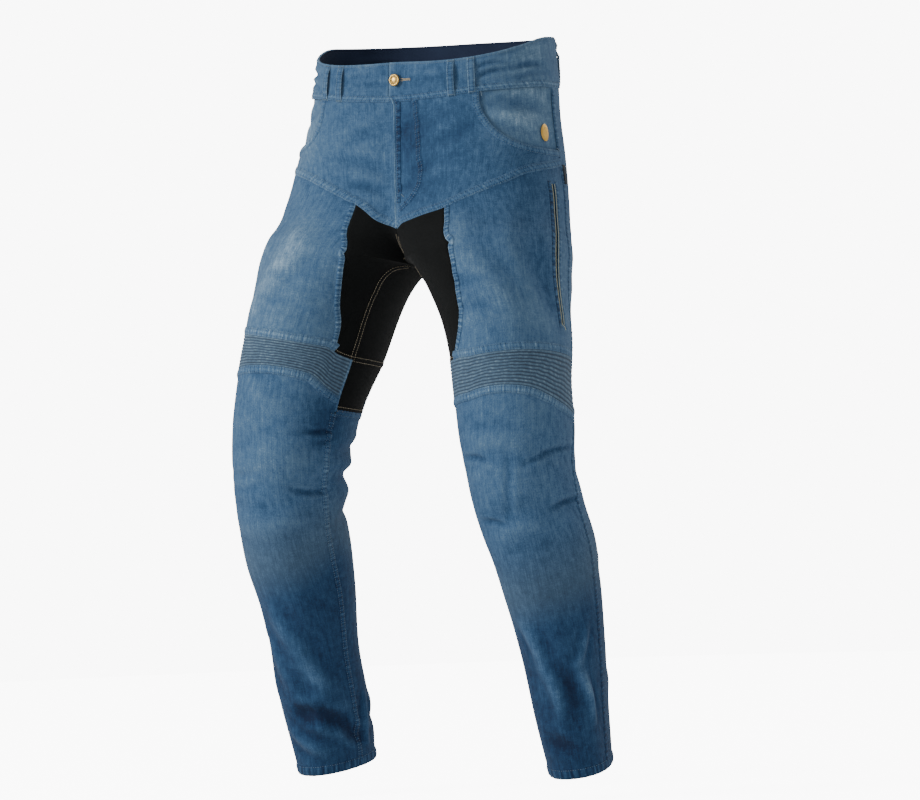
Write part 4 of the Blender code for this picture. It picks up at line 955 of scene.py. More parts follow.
# All seam bands: each runs along a seam line, from start to end beside it
bandLooks = dict(
    vSeam=dict(start=-0.0055, end=0.0066, rows=(-0.0030, 0.0036), rise=0.0011, pucker=0.34,
               ropeWearAndShade=0.15, base=0.0003,
               fade=0.09, thread="tonalThread", seed=1.0, wave=0.0052, across=11,
               edges=((-0.0047, 0.20), (0.0060, 0.08))),
    bandLow=dict(start=-0.0072, end=0.0036, rows=(-0.0044, 0.0010), rise=0.0009, pucker=0.28,
                 ropeWearAndShade=0.13,
                 base=0.0006, fade=0.07, thread="tonalThread", seed=2.0, wave=0.0060, across=10,
                 edges=((-0.0064, 0.12), (-0.0018, 0.10))),
    ribTop=dict(start=-0.0012, end=0.0112, rows=(0.0020, 0.0086), rise=0.0012, pucker=0.30,
                ropeWearAndShade=0.15, base=0.0003,
                fade=0.10, thread="tonalThread", seed=3.0, slant=0.1, wave=0.0050, across=10,
                edges=((-0.0004, 0.14), (0.0104, 0.08))),
    ribLow=dict(start=-0.0118, end=0.0008, rows=(-0.0022, -0.0094), rise=0.0014, pucker=0.30,
                ropeWearAndShade=0.18, base=0.0004,
                fade=0.12, thread="tonalThread", seed=4.0, slant=0.0, wave=0.0040, across=10,
                edges=((0.0000, 0.16), (-0.0112, 0.10))),
    blackEdge=dict(start=-0.0006, end=0.0084, rows=(0.0024,), rise=0.0010, pucker=0.40, ropeWearAndShade=0.28,
                   base=0.0003, fade=0.00, thread="tonalThread", seed=5.0, slant=0.0, wave=0.0056,
                   across=9,
                   edges=((0.0002, 0.30),)),
    pocketMouth=dict(start=-0.0104, end=0.0004, rows=(-0.0022, -0.0084), rise=0.0011, pucker=0.24,
                     ropeWearAndShade=0.12,
                     base=0.0003, fade=0.08, thread="tonalThread", seed=6.0, slant=0.2, wave=0.0056,
                     across=10,
                     edges=((-0.0004, 0.18), (-0.0096, 0.08))),
    # painted highlight along the rolled fly edge
    flyRoll=dict(start=-0.0004, end=0.0026, rise=0.0010, pucker=0.20, ropeWearAndShade=0.06, base=0.0010,
                 fade=0.28, seed=7.0,
                 across=6, rimShade=0.02),
    # painted shade in the puckers beside the fly
    flySide=dict(start=0.0030, end=0.0120, rows=(0.0055,), rise=0.0006, pucker=0.55, ropeWearAndShade=0.22,
                 base=0.0008,
                 fade=-0.12, thread="tonalThread", seed=7.5, slant=0.0, wave=0.0080, rimShade=0.0),
    flyStitch=dict(start=-0.0056, end=0.0056, rows=(-0.0022, 0.0022), rise=0.0006, pucker=0.50,
                   ropeWearAndShade=0.16, base=0.0003,
                   fade=-0.02, thread="tonalThread", seed=7.8, slant=0.2, wave=0.0070, rimShade=0.02),
    sideSeam=dict(start=-0.0056, end=0.0044, rows=(-0.0032,), rise=0.0010, pucker=0.40, ropeWearAndShade=0.24,
                  base=0.0001,
                  fade=0.02, thread="darkThread", seed=8.0, wave=0.0062, slant=0.1),
    inseam=dict(start=-0.0016, end=0.0100, rows=(0.0016, 0.0076), rise=0.0011, pucker=0.40,
                ropeWearAndShade=0.22, base=0.0002,
                fade=0.08, thread="tonalThread", seed=9.0, wave=0.0056, slant=0.1,
                edges=((-0.0008, 0.16),)),
    ribInner=dict(start=-0.0010, end=0.0034, rows=(), rise=0.0010, pucker=0.30, ropeWearAndShade=0.14,
                  base=0.0005, fade=0.16,
                  seed=10.0, across=6, wave=0.0060),
    vent=dict(start=-0.0100, end=-0.0014, rows=(-0.0030, -0.0086), rise=0.0008, pucker=0.55,
              ropeWearAndShade=0.26, base=0.0001,
              fade=-0.12, thread="darkThread", seed=10.4, slant=0.0, wave=0.0090, rimShade=0.02),
    ventOuter=dict(start=0.0014, end=0.0090, rows=(0.0030,), rise=0.0008, pucker=0.50, ropeWearAndShade=0.20,
                   base=0.0001,
                   fade=0.03, thread="tonalThread", seed=10.7, slant=0.0, wave=0.0075, rimShade=0.02),
    hem=dict(start=0.0002, end=0.0150, rows=(0.0128,), rise=0.0012, pucker=0.30, ropeWearAndShade=0.22,
             base=0.0001,
             fade=0.06, thread="tonalThread", seed=11.0, slant=0.1, wave=0.0085, across=11,
             edges=((0.0128, 0.10),)),
    centreBack=dict(start=-0.0062, end=0.0058, rows=(-0.0030, 0.0026), rise=0.0010, pucker=0.34,
                    ropeWearAndShade=0.14,
                    base=0.0003, fade=0.05, thread="tonalThread", seed=12.0, wave=0.0058),
    kneeBack=dict(start=-0.0058, end=0.0058, rows=(-0.0028, 0.0030), rise=0.0010, pucker=0.34,
                  ropeWearAndShade=0.14,
                  base=0.0003, fade=0.06, thread="tonalThread", seed=13.0, wave=0.0058),
    backEdge=dict(start=-0.0084, end=0.0006, rows=(-0.0024,), rise=0.0010, pucker=0.40, ropeWearAndShade=0.26,
                  base=0.0003, fade=0.0, thread="tonalThread", seed=14.0, wave=0.0056, slant=0.0,
                  edges=((-0.0002, 0.26),)),
    blackTwin=dict(start=-0.0052, end=0.0052, rows=(-0.0030, 0.0030), rise=0.0006, pucker=0.30,
                   ropeWearAndShade=0.0,
                   base=0.0001, fade=0.0, thread="beigeThread", seed=15.0, cloth="blackStretch",
                   slot="stretch_black", stitch=1.15),
)


def evenLine(side, line, step):
    place, _ = readSurface(side, dropOf(line[:, 0]), line[:, 1])
    length = np.r_[0, np.cumsum(np.linalg.norm(np.diff(place, axis=0), axis=1))]
    along = np.linspace(0, length[-1], max(2, int(length[-1] / step) + 1))
    return np.stack([np.interp(along, length, line[:, k]) for k in (0, 1)], 1), along


def besideLine(side, line, offsets):
    # Places at distances beside a line, measured on the cloth.  Positive is upwards beside a line
    # that goes round, and onwards round the body beside a line that goes down.
    drop, around = dropOf(line[:, 0]), line[:, 1]
    place, normal = readSurface(side, drop, around)
    ahead = np.gradient(place, axis=0)
    ahead /= np.linalg.norm(ahead, axis=1, keepdims=True) + 1e-12
    square = np.cross(normal, ahead) * side
    square /= np.linalg.norm(square, axis=1, keepdims=True) + 1e-12
    row = line[:, 0]
    above = np.where(row < 0, row - 0.002, row)
    down = readSurface(side, dropOf(above + 0.002), around)[0] - readSurface(side, dropOf(above),
                                                                             around)[0]
    down /= 0.002
    onward = (readSurface(side, drop, around + 0.002)[0] - readSurface(side, drop,
                                                                       around - 0.002)[0]) / 0.004
    dd, oo = np.sum(down * down, 1), np.sum(onward * onward, 1)
    do, sd, so = np.sum(down * onward, 1), np.sum(square * down, 1), np.sum(square * onward, 1)
    whole = np.maximum(dd * oo - do * do, 1e-9)
    a, b = (sd * oo - so * do) / whole, (so * dd - sd * do) / whole
    dropAt = dropOf(row[:, None] + a[:, None] * offsets)
    roundAt = around[:, None] + b[:, None] * offsets
    return dropAt, roundAt


def bandHeight(look, along, offsets):
    # Height of a sewn band: a low crown, drawn down along its stitch rows and puckered between
    middle, half = (look["start"] + look["end"]) / 2, (look["end"] - look["start"]) / 2
    share = (offsets - middle) / half
    crown = 1 - np.abs(share) ** 5
    groove = np.zeros(np.shape(offsets))
    for row in look.get("rows", ()):
        groove = groove + np.exp(-((offsets - row) / 0.0011) ** 2)
    slant = look.get("slant", 0.6)
    wave = unevenWave(along + slant * offsets, look.get("wave", 0.0072), look.get("seed", 0.0))
    height = look["rise"] * crown * (1 + look.get("pucker", 0.4) * wave) * (1 - 0.45 * groove)
    return height - 0.0006 * (1 - crown), wave, groove, crown, share


def seamBand(name, side, line, look):
    line = shiftLine(side, line)
    at, along = evenLine(side, line, fineness["band"] * (1))
    offsets = np.linspace(look["start"], look["end"], look.get("across", 9))[None, :]
    drop, around = besideLine(side, at, offsets)
    place, normal = readSurface(side, drop, around)
    height, wave, groove, crown, share = bandHeight(look, along[:, None], offsets)
    lift = clothLift(side, drop, around) + look.get("base", 0.0) + height
    points = place + normal * lift[..., None]
    fade = washAndShadeField(side, drop, around) + look.get("fade", 0.0)
    # roping wear and painted shade and highlight follow the pucker wave; painted shade darkens the
    # stitch grooves
    fade = fade + look.get("ropeWearAndShade", 0.2) * wave * crown - 0.16 * groove
    # painted shade along the band's outer rims, where it sinks into the panel
    fade = fade - look.get("rimShade", 0.16) * np.abs(share) ** 6
    # painted highlight lines at the listed offsets along the band's edges
    for edgeAt, amount in look.get("edges", ()):
        fade = fade + amount * np.exp(-((offsets - edgeAt) / 0.0010) ** 2)
    masks = dict(fade=np.clip(fade, 0, 1), tint=washAndShadeDepths["tint"] * tintField(side, drop, around))
    chart = chartOf(drop, around, 0.37)
    mesh = gridMesh(name, points, chart, masks, normal.mean(axis=(0, 1)))
    piece = linkPiece(name, mesh, look.get("slot", "denim"), cloths[look.get("cloth", "seamDenim")])
    thicken(piece, 0.0006)
    for row in look.get("rows", ()):
        sewRow(side, line, row, look)
    return piece


sewing = dict(pitch=0.0033, long=0.00118, thick=0.00034)


def sewRow(side, line, offset, look, lift=None):
    # One row of stitches beside a seam, kept until all rows of its thread are joined
    at, along = evenLine(side, line, sewing["pitch"])
    drop, around = besideLine(side, at, np.array([[offset]]))
    place, normal = readSurface(side, drop[:, 0], around[:, 0])
    if lift is None:
        height = bandHeight(look, along, np.full(len(along), offset))[0] + look.get("base", 0.0)
    else:
        height = np.full(len(along), lift)
    height = height + clothLift(side, drop[:, 0], around[:, 0])
    place = place + normal * (height + 0.00012)[:, None]
    keepStitches(look.get("thread", "tonalThread"), side, place, normal,
                 sewing["long"] * look.get("stitch", 1.0), sewing["thick"] * look.get("stitch",
                                                                                      1.0))


def keepStitches(thread, side, place, normal, long, thick, ahead=None):
    if ahead is None:
        ahead = np.gradient(place, axis=0)
    ahead = ahead - normal * np.sum(ahead * normal, axis=1, keepdims=True)
    ahead /= np.linalg.norm(ahead, axis=1, keepdims=True) + 1e-12
    beside = np.cross(normal, ahead)
    axes = np.stack([ahead * long, beside * thick, normal * thick], 1)
    stitchBank.setdefault((thread, side), []).append((place, axes))


def joinedCopies(name, places, axes):
    # Many copies of one small bead, joined in one mesh
    bm = bmesh.new()
    bmesh.ops.create_icosphere(bm, subdivisions=1, radius=1.0)
    bead = np.array([vert.co[:] for vert in bm.verts])
    faces = np.array([[vert.index for vert in face.verts] for face in bm.faces])
    bm.free()
    points = places[:, None, :] + np.einsum("vk,nkj->nvj", bead, axes)
    count = len(places)
    corners = (faces[None] + (np.arange(count) * len(bead))[:, None, None]).reshape(-1)
    mesh = bpy.data.meshes.new(name)
    mesh.vertices.add(count * len(bead))
    mesh.vertices.foreach_set("co", points.ravel())
    mesh.loops.add(len(corners))
    mesh.loops.foreach_set("vertex_index", corners.astype(np.int32))
    mesh.polygons.add(count * len(faces))
    mesh.polygons.foreach_set("loop_start", np.arange(0, len(corners), 3, dtype=np.int32))
    mesh.update(calc_edges=True)
    facing = np.linalg.det(axes[0])
    if facing < 0:
        mesh.flip_normals()
    mesh.shade_smooth()
    return mesh


def finishStitches():
    for (thread, side), rows in stitchBank.items():
        places = np.vstack([place for place, _ in rows])
        axes = np.vstack([axes for _, axes in rows])
        name = thread + "Stitches" + sideName(side)
        slot = "zip_tape" if thread == "zipCoil" else "denim"
        linkPiece(name, joinedCopies(name, places, axes), slot, cloths[thread])
        print(name, len(places), "stitches")


# Fronts of the hip, with the fly and the pocket mouth
hipLook = dict(wall=0.0015, grain="left", pull=dict(top=0.0004, low=0.0007, right=0.0003), seed=0.3)
flyLook = dict(lap=0.0011, reach=0.016)


def makeHipFront(side):
    sign = -1.0 if side > 0 else 1.0
    band = float(seamRead(seams["bandLow"], 0.0))
    start = sign * float(seamRead(seams["flyEdge"], band))
    rows = 9 * round(cells(0.21) / 9)
    columns = cells(0.26)
    top = goRound("bandLow", start, 0.270, shares(columns))
    low = goRound("vSeam", 0.0, 0.53, shares(columns))
    left = goDown("flyEdge", band, seams["vSeam"][0][1], shares(rows), sign=sign)
    mouth = goAlong(seams["pocketMouth"], shares(rows * 8 / 9))
    right = join(mouth, goDown("sideSeam", 0.156, 0.170, shares(rows / 9)))
    look = dict(hipLook)
    if side > 0:
        look["raised"] = dict(left=(flyLook["lap"], flyLook["reach"]))
        # painted highlight in a thin line along the lapped fly edge
        look["paintedEdgeShading"] = dict(left=(0.16, 0.004))
    clothPanel("hipFront" + sideName(side), nodeName("hip_front", side), side,
               coons(top, low, left, right), look)


# the facing gets painted shadow along its left and low edges, under the pocket mouth
facingLook = dict(wall=0.0012, lift=-0.0033, fade=0.12, seed=0.9, grain="right",
                  paintedEdgeShading=dict(left=(-0.35, 0.005), low=(-0.35, 0.005)),
                  raised=dict(right=(0.0030, 0.016), top=(0.0022, 0.012)))


def makePocketFacing(side):
    inner = seams["pocketInner"]
    left = goAlong(inner[:4], shares(cells(0.08)))
    low = goAlong(inner[3:], shares(cells(0.13)))
    top = goRound("bandLow", inner[0][1], 0.53, shares(len(low) - 1))
    right = goDown("sideSeam", float(seamRead(seams["bandLow"], 0.53)), inner[-1][0],
                   shares(len(left) - 1))
    clothPanel("pocketFacing" + sideName(side), nodeName("pocket_facing", side), side,
               coons(top, low, left, right), facingLook)


# Thigh fronts, each with a slit for a vent that a zip closes
# painted shade along the thigh's top and left edges, beside the V-seam and black-edge bands
thighLook = dict(wall=0.0015, grain="right", pull=dict(top=0.0006, low=0.0006, left=0.0006,
                                                       right=0.0004), seed=1.4,
                 paintedEdgeShading=dict(top=(-0.10, 0.012), left=(-0.10, 0.006)))
ventLook = dict(left=0.829, right=0.851, top=0.08, low=0.89, tapeLift=-0.00225, cord=0.00042,
                beside=0.0007)


def thighShares():
    v = ventLook
    across = np.r_[np.linspace(0, v["left"], cells(0.21) + 1), (v["left"] + v["right"]) / 2,
                   np.linspace(v["right"], 1, cells(0.04) + 1)]
    down = np.r_[np.linspace(0, v["top"], cells(0.02) + 1), np.linspace(v["top"], v["low"],
                                                                        cells(0.2) + 1)[1:],
                 np.linspace(v["low"], 1, cells(0.03) + 1)[1:]]
    return across, down


def thighGrid():
    across, down = thighShares()
    top = goRound("vSeam", 0.132, 0.53, across)
    low = goRound("ribTop", 0.082, 0.53, across)
    left = goDown("blackEdge", seams["blackEdge"][0][0], 0.427, down)
    right = goDown("sideSeam", seams["vSeam"][-1][1], 0.430, down)
    return coonsAt(top, low, left, right, across, down)


def coonsAt(top, low, left, right, across, down):  # the same fill, with its shares given
    a, b = across[None, :, None], down[:, None, None]
    blend = (1 - b) * top[None] + b * low[None] + (1 - a) * left[:, None] + a * right[:, None]
    corners = ((1 - a) * (1 - b) * top[0] + a * (1 - b) * top[-1]
               + (1 - a) * b * low[0] + a * b * low[-1])
    return blend - corners


def makeThigh(side):
    across, down = thighShares()
    grid = thighGrid()
    v = ventLook
    inSlit = (across[:-1] >= v["left"] - 1e-6) & (across[1:] <= v["right"] + 1e-6)
    rowsIn = (down[:-1] >= v["top"] - 1e-6) & (down[1:] <= v["low"] + 1e-6)
    hole = rowsIn[:, None] & inSlit[None, :]
    clothPanel("thighFront" + sideName(side), nodeName("thigh_front", side), side, grid, thighLook,
               hole)
    leftColumn = int(np.argmin(np.abs(across - v["left"])))
    rightColumn = int(np.argmin(np.abs(across - v["right"])))
    topRow, lowRow = int(np.argmin(np.abs(down - v["top"]))), int(np.argmin(np.abs(down - v["low"])))
    makeVent(side, grid, leftColumn, rightColumn, topRow, lowRow)


def makeVent(side, grid, leftColumn, rightColumn, topRow, lowRow):
    # Tape and coil behind the slit, a thin light cord along both of its edges
    v = ventLook
    slit = grid[topRow - 2:lowRow + 3]
    reach = (slit[:, rightColumn] - slit[:, leftColumn])[:, None]
    spread = np.linspace(-0.8, 1.8, 12)[None, :, None]
    tape = slit[:, leftColumn][:, None] + reach * spread
    look = dict(wall=0.0008, lift=v["tapeLift"], cloth="zipTape", inside="zipTape", slot="zip_tape")
    clothPanel("ventTape" + sideName(side), nodeName("vent_zip", side), side, tape, look)
    centre = shiftLine(side, (slit[2:-2, leftColumn] + slit[2:-2, rightColumn]) / 2)
    at, _ = evenLine(side, centre, 0.0015)
    for shift in (-0.0007, 0.0007):
        drop, around = besideLine(side, at, np.array([[shift]]))
        place, normal = readSurface(side, drop[:, 0], around[:, 0])
        lift = v["tapeLift"] + 0.0003 + clothLift(side, drop[:, 0], around[:, 0])
        place = place + normal * lift[:, None]
        ahead = np.gradient(place, axis=0)
        keepStitches("zipCoil", side, place, normal, 0.0011, 0.0005, ahead=np.cross(normal, ahead))
    lines = []
    for column, shift in ((leftColumn, -v["beside"]), (rightColumn, v["beside"])):
        edge = shiftLine(side, grid[topRow:lowRow + 1, column])
        drop, around = besideLine(side, edge, np.array([[shift]]))
        lines.append((drop[:, 0], around[:, 0]))
    tail = 0.0022 * np.arange(1, 4)
    lastDrop, lastRound = lines[1][0][-1], lines[1][1][-1]
    lines[0] = (np.r_[lines[0][0], lastDrop + tail], np.r_[lines[0][1], lastRound + tail * 0.6])
    cordAlong("ventCord" + sideName(side), side, lines, v["cord"], "limeThread")
    for column, label in ((leftColumn, "vent"), (rightColumn, "ventOuter")):
        seamBand("seam_" + label + sideName(side), side, grid[topRow - 1:lowRow + 2, column],
                 bandLooks[label])


def cordAlong(name, side, lines, radius, thread):
    # Thin cords laid on the cloth: each line holds drops and rounds
    curve = bpy.data.curves.new(name, "CURVE")
    curve.dimensions = "3D"
    curve.bevel_depth = radius
    curve.bevel_resolution = 1
    curve.use_fill_caps = True
    for drop, around in lines:
        place, normal = readSurface(side, drop, around)
        place = place + normal * (clothLift(side, drop, around) + radius * 0.6)[:, None]
        spline = curve.splines.new("POLY")
        spline.points.add(len(place) - 1)
        spline.points.foreach_set("co", np.hstack([place, np.ones((len(place), 1))]).ravel())
    piece = bpy.data.objects.new(name, curve)
    bpy.context.scene.collection.objects.link(piece)
    curve.materials.append(cloths[thread])
    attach(piece, "root")


# Black stretch pieces of the inner leg
blackLook = dict(wall=0.0012, cloth="blackStretch", inside="blackStretch", slot="stretch_black",
                 pull=dict(left=0.0003, right=0.0004, low=0.0003), seed=2.2)


def makeBlacks(side):
    name = sideName(side)
    rows = 10 * max(1, round(cells(0.18) / 10))
    columns = cells(0.07)
    left = join(goStraight(seams["vSeam"][0][1], form["crotch"], 0.0, shares(rows * 0.4)),
                goDown("inseam", form["crotch"], 0.427, shares(rows * 0.6)))
    right = goDown("blackEdge", seams["blackEdge"][0][0], 0.427, shares(rows))
    top = goRound("vSeam", 0.0, 0.132, shares(columns))
    low = goRound("ribTop", 0.0, 0.082, shares(columns))
    clothPanel("blackFront" + name, nodeName("black_front", side), side,
               coons(top, low, left, right), blackLook)
    rows = 9 * max(1, round(cells(0.15) / 9))
    columns = cells(0.12)
    top = goAlong(seams["gussetTop"], shares(columns))
    left = goDown("blackBackEdge", 0.280, 0.427, shares(rows))
    right = join(goStraight(seams["gussetTop"][-1][0], form["crotch"], 1.0, shares(rows / 3)),
                 goDown("inseam", form["crotch"], 0.427, shares(rows * 2 / 3), shift=1.0))
    low = goRound("backLevel", 0.805, 1.0, shares(columns))
    clothPanel("blackBack" + name, nodeName("black_back", side), side, coons(top, low, left, right),
               blackLook)
    rows = cells(0.07)
    top = low
    low = goRound("kneeBack", 0.860, 1 + float(seamRead(seams["inseam"], kneeLevel)),
                  shares(columns))
    left = goDown("blackBackEdge", 0.427, 0.503, shares(rows))
    right = goDown("inseam", 0.427, 0.501, shares(rows), shift=1.0)
    clothPanel("blackKnee" + name, nodeName("black_knee", side), side, coons(top, low, left, right),
               blackLook)


# Ribbed panel above the knee: ridges sewn into the cloth
ribLook = dict(count=11, rise=0.0014, rowsPerRib=6, wall=0.0015, fade=-0.16,
               ridgeWearAndShade=0.95, middle=0.62, tuckShade=0.12)


def makeRibPanel(side):
    rows = ribLook["count"] * ribLook["rowsPerRib"]
    columns = cells(0.30)
    innerLow, innerRound = corner("ribLow", "inseam", 0.479)
    outerLow, outerRound = corner("ribLow", "sideSeam", 0.505)
    top = goRound("ribTop", 0.0, 0.53, shares(columns))
    low = goRound("ribLow", innerRound, outerRound, shares(columns))
    left = goDown("inseam", 0.427, innerLow, shares(rows))
    right = goDown("sideSeam", 0.430, outerLow, shares(rows))
    grid = coons(top, low, left, right)
    drop, around = shiftSeams(side, dropOf(grid[..., 0]), grid[..., 1])
    place, normal = readSurface(side, drop, around)
    share = np.linspace(0, ribLook["count"], rows + 1)[:, None]
    wobble = 0.13 * unevenWave(around * 0.6 + 0.004 * share, 0.026,
                               1.0) * np.sin(pi * share / ribLook["count"])
    ridge = np.abs(np.sin(pi * (share + wobble))) ** 0.7
    along = edgeDistances(place)["left"]
    tuck = unevenWave(along + 0.004 * np.floor(share) ** 2, 0.0068, 2.0)
    height = ribLook["rise"] * ridge * (0.86 + 0.16 * tuck)
    points = place + normal * (clothLift(side, drop, around) + height)[..., None]
    fade = washAndShadeField(side, drop, around) + ribLook["fade"]
    # ridge tops lighter from wear, hollows between ridges darker as painted shade, and tuckShade paints
    # highlight on raised tucks
    fade = fade + ribLook["ridgeWearAndShade"] * (ridge - ribLook["middle"]) + ribLook["tuckShade"] * tuck * ridge
    masks = dict(fade=np.clip(fade, 0, 1), tint=np.full(drop.shape, 0.38))
    name = "ribPanel" + sideName(side)
    mesh = gridMesh(name, points, chartOf(drop, around), masks, normal.mean(axis=(0, 1)))
    piece = linkPiece(name, mesh, "denim_ribbed", cloths["ribDenim"], cloths["insideNavy"])
    thicken(piece, ribLook["wall"], 1)
    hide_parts(nodeName("rib_panel", side))


# Knee and shin front, and the backs
shinLook = dict(wall=0.0015, pull=dict(top=0.0005, left=0.0007, right=0.0006, low=0.0004), seed=3.1)
backLook = dict(wall=0.0015, pull=dict(top=0.0004, left=0.0005, right=0.0006, low=0.0004), seed=4.3)


def hemEdge(leftEnd, rightEnd, columns):
    return np.stack([np.full(columns + 1, rowOf(form["hem"])), np.linspace(leftEnd, rightEnd,
                                                                           columns + 1)], 1)


def makeShin(side):
    innerLow, innerRound = corner("ribLow", "inseam", 0.479)
    outerLow, outerRound = corner("ribLow", "sideSeam", 0.505)
    rows, columns = cells(0.53), cells(0.24)
    top = goRound("ribLow", innerRound, outerRound, shares(columns))
    left = goDown("inseam", innerLow, form["hem"], shares(rows))
    right = goDown("sideSeam", outerLow, form["hem"], shares(rows))
    low = hemEdge(left[-1][1], right[-1][1], columns)
    clothPanel("shinFront" + sideName(side), nodeName("shin_front", side), side,
               coons(top, low, left, right), shinLook)


def makeBacks(side):
    bandSide, bandCentre = (float(seamRead(seams["bandLow"], u)) for u in (0.53, 1.0))
    fine = max(2, round(cells(0.45) / 25))
    columns = cells(0.24)
    top = goRound("bandLow", 0.53, 1.0, shares(columns))
    right = join(goStraight(bandCentre, seams["gussetTop"][-1][0], 1.0, shares(8 * fine)),
                 goAlong(seams["gussetTop"][::-1], shares(4 * fine)),
                 goDown("blackBackEdge", 0.280, 0.427, shares(9 * fine)),
                 goDown("blackBackEdge", 0.427, 0.503, shares(4 * fine)))
    kneeDrop, kneeRound = corner("kneeBack", "sideSeam", 0.500)
    left = join(goDown("sideSeam", bandSide, 0.170, shares(6 * fine)),
                goDown("sideSeam", 0.170, 0.430, shares(10 * fine)),
                goDown("sideSeam", 0.430, kneeDrop, shares(9 * fine)))
    low = goRound("kneeBack", kneeRound, 0.860, shares(columns))
    clothPanel("backUpper" + sideName(side), nodeName("back_upper", side), side,
               coons(top, low, left, right), backLook)
    rows, columns = cells(0.5), cells(0.22)
    top = goRound("kneeBack", kneeRound, 1 + float(seamRead(seams["inseam"], kneeLevel)),
                  shares(columns))
    left = goDown("sideSeam", kneeDrop, form["hem"], shares(rows))
    right = goDown("inseam", 0.501, form["hem"], shares(rows), shift=1.0)
    low = hemEdge(left[-1][1], right[-1][1], columns)
    clothPanel("backLower" + sideName(side), nodeName("back_lower", side), side,
               coons(top, low, left, right), backLook)


# Waistband: two layers, one strip from the fly edge round the back
# painted highlight along the waistband's rolled top edge
bandLook = dict(wall=0.0030, lift=0.0008, roll=dict(top=0.0009), pull=dict(low=0.0005, top=0.0002),
                paintedEdgeShading=dict(top=(0.16, 0.0024)), seed=5.0)


def makeWaistband():
    edge = float(seamRead(seams["flyEdge"], 0.03))
    columns = cells(0.95)
    stations = np.linspace(-edge, 2 - edge, columns + 1)
    reach = np.where(stations > 1, 2 - stations, stations)
    low = seamRead(seams["bandLow"], reach)
    down = np.r_[0, 0.012, 0.03, np.linspace(0.06, 1, cells(0.052))]
    grid = np.zeros((len(down), len(stations), 2))
    grid[..., 0] = rowOf(low[None, :] * down[:, None])
    grid[..., 1] = stations[None, :]
    # The wearer's right half reads its own creases, so the strip is built in one go on both sides
    drop, around = dropOf(grid[..., 0]), grid[..., 1]
    place, normal = readSurface(1, drop, around)
    mine = (around >= 0) & (around <= 1)
    mirrored = np.where(around < 0, -around, 2 - around)
    lift = np.where(mine, clothLift(1, drop, around), clothLift(-1, drop, mirrored))
    wash = np.where(mine, washAndShadeField(1, drop, around), washAndShadeField(-1, drop, mirrored))
    away = edgeDistances(place)
    lift = lift + bandLook["lift"] - bandLook["roll"]["top"] * np.exp(-(away["top"] / 0.0014) ** 2)
    wave = unevenWave(away["left"] + 0.4 * away["low"], pucker["wave"], 2.0)
    pulled = bandLook["pull"]["low"] * wave * np.exp(-away["low"] / pucker["reach"])
    points = place + normal * (lift + pulled)[..., None]
    amount, reach = bandLook["paintedEdgeShading"]["top"]
    # pulled puckers paint shade in their dips and highlight on their crests
    fade = wash + washAndShadeDepths["pull"] * pulled + amount * np.exp(-(away["top"] / reach) ** 2)
    # painted highlight along the band's end at the fly
    fade = fade + 0.18 * np.exp(-(away["left"] / 0.003) ** 2)
    masks = dict(fade=np.clip(fade, 0, 1), tint=np.zeros(drop.shape))
    mesh = gridMesh("waistband", points, chartOf(drop, around), masks, np.array([0, -1, 0]))
    facing = np.empty(len(mesh.polygons) * 3)
    mesh.polygons.foreach_get("normal", facing)
    middle = np.empty(len(mesh.polygons) * 3)
    mesh.polygons.foreach_get("center", middle)
    if np.sum(facing.reshape(-1, 3) * (middle.reshape(-1, 3) * (1, 1, 0))) < 0:
        mesh.flip_normals()
    piece = linkPiece("waistband", mesh, "denim", cloths["washedDenim"], cloths["insideNavy"])
    thicken(piece, bandLook["wall"], 1)
    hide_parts("waistband")


# Belt loops: folded strips with two stitch rows, tacked at both ends
beltLoops = {
    "front_left_inner": (1, 0.190, 0.0), "front_left_outer": (1, 0.250, 0.0),
    "front_right_inner": (-1, 0.190, 0.0), "front_right_outer": (-1, 0.250, 0.0),
    "side_left": (1, 0.665, 0.0), "side_right": (-1, 0.665, 0.0),
    "back_left": (1, 0.965, 0.0005), "back_right": (-1, 0.965, 0.0005),
}
loopLook = dict(width=0.010, top=0.001, below=0.010, rise=0.0028, wall=0.0016, gap=0.0003,
                across=13, fade=0.04)


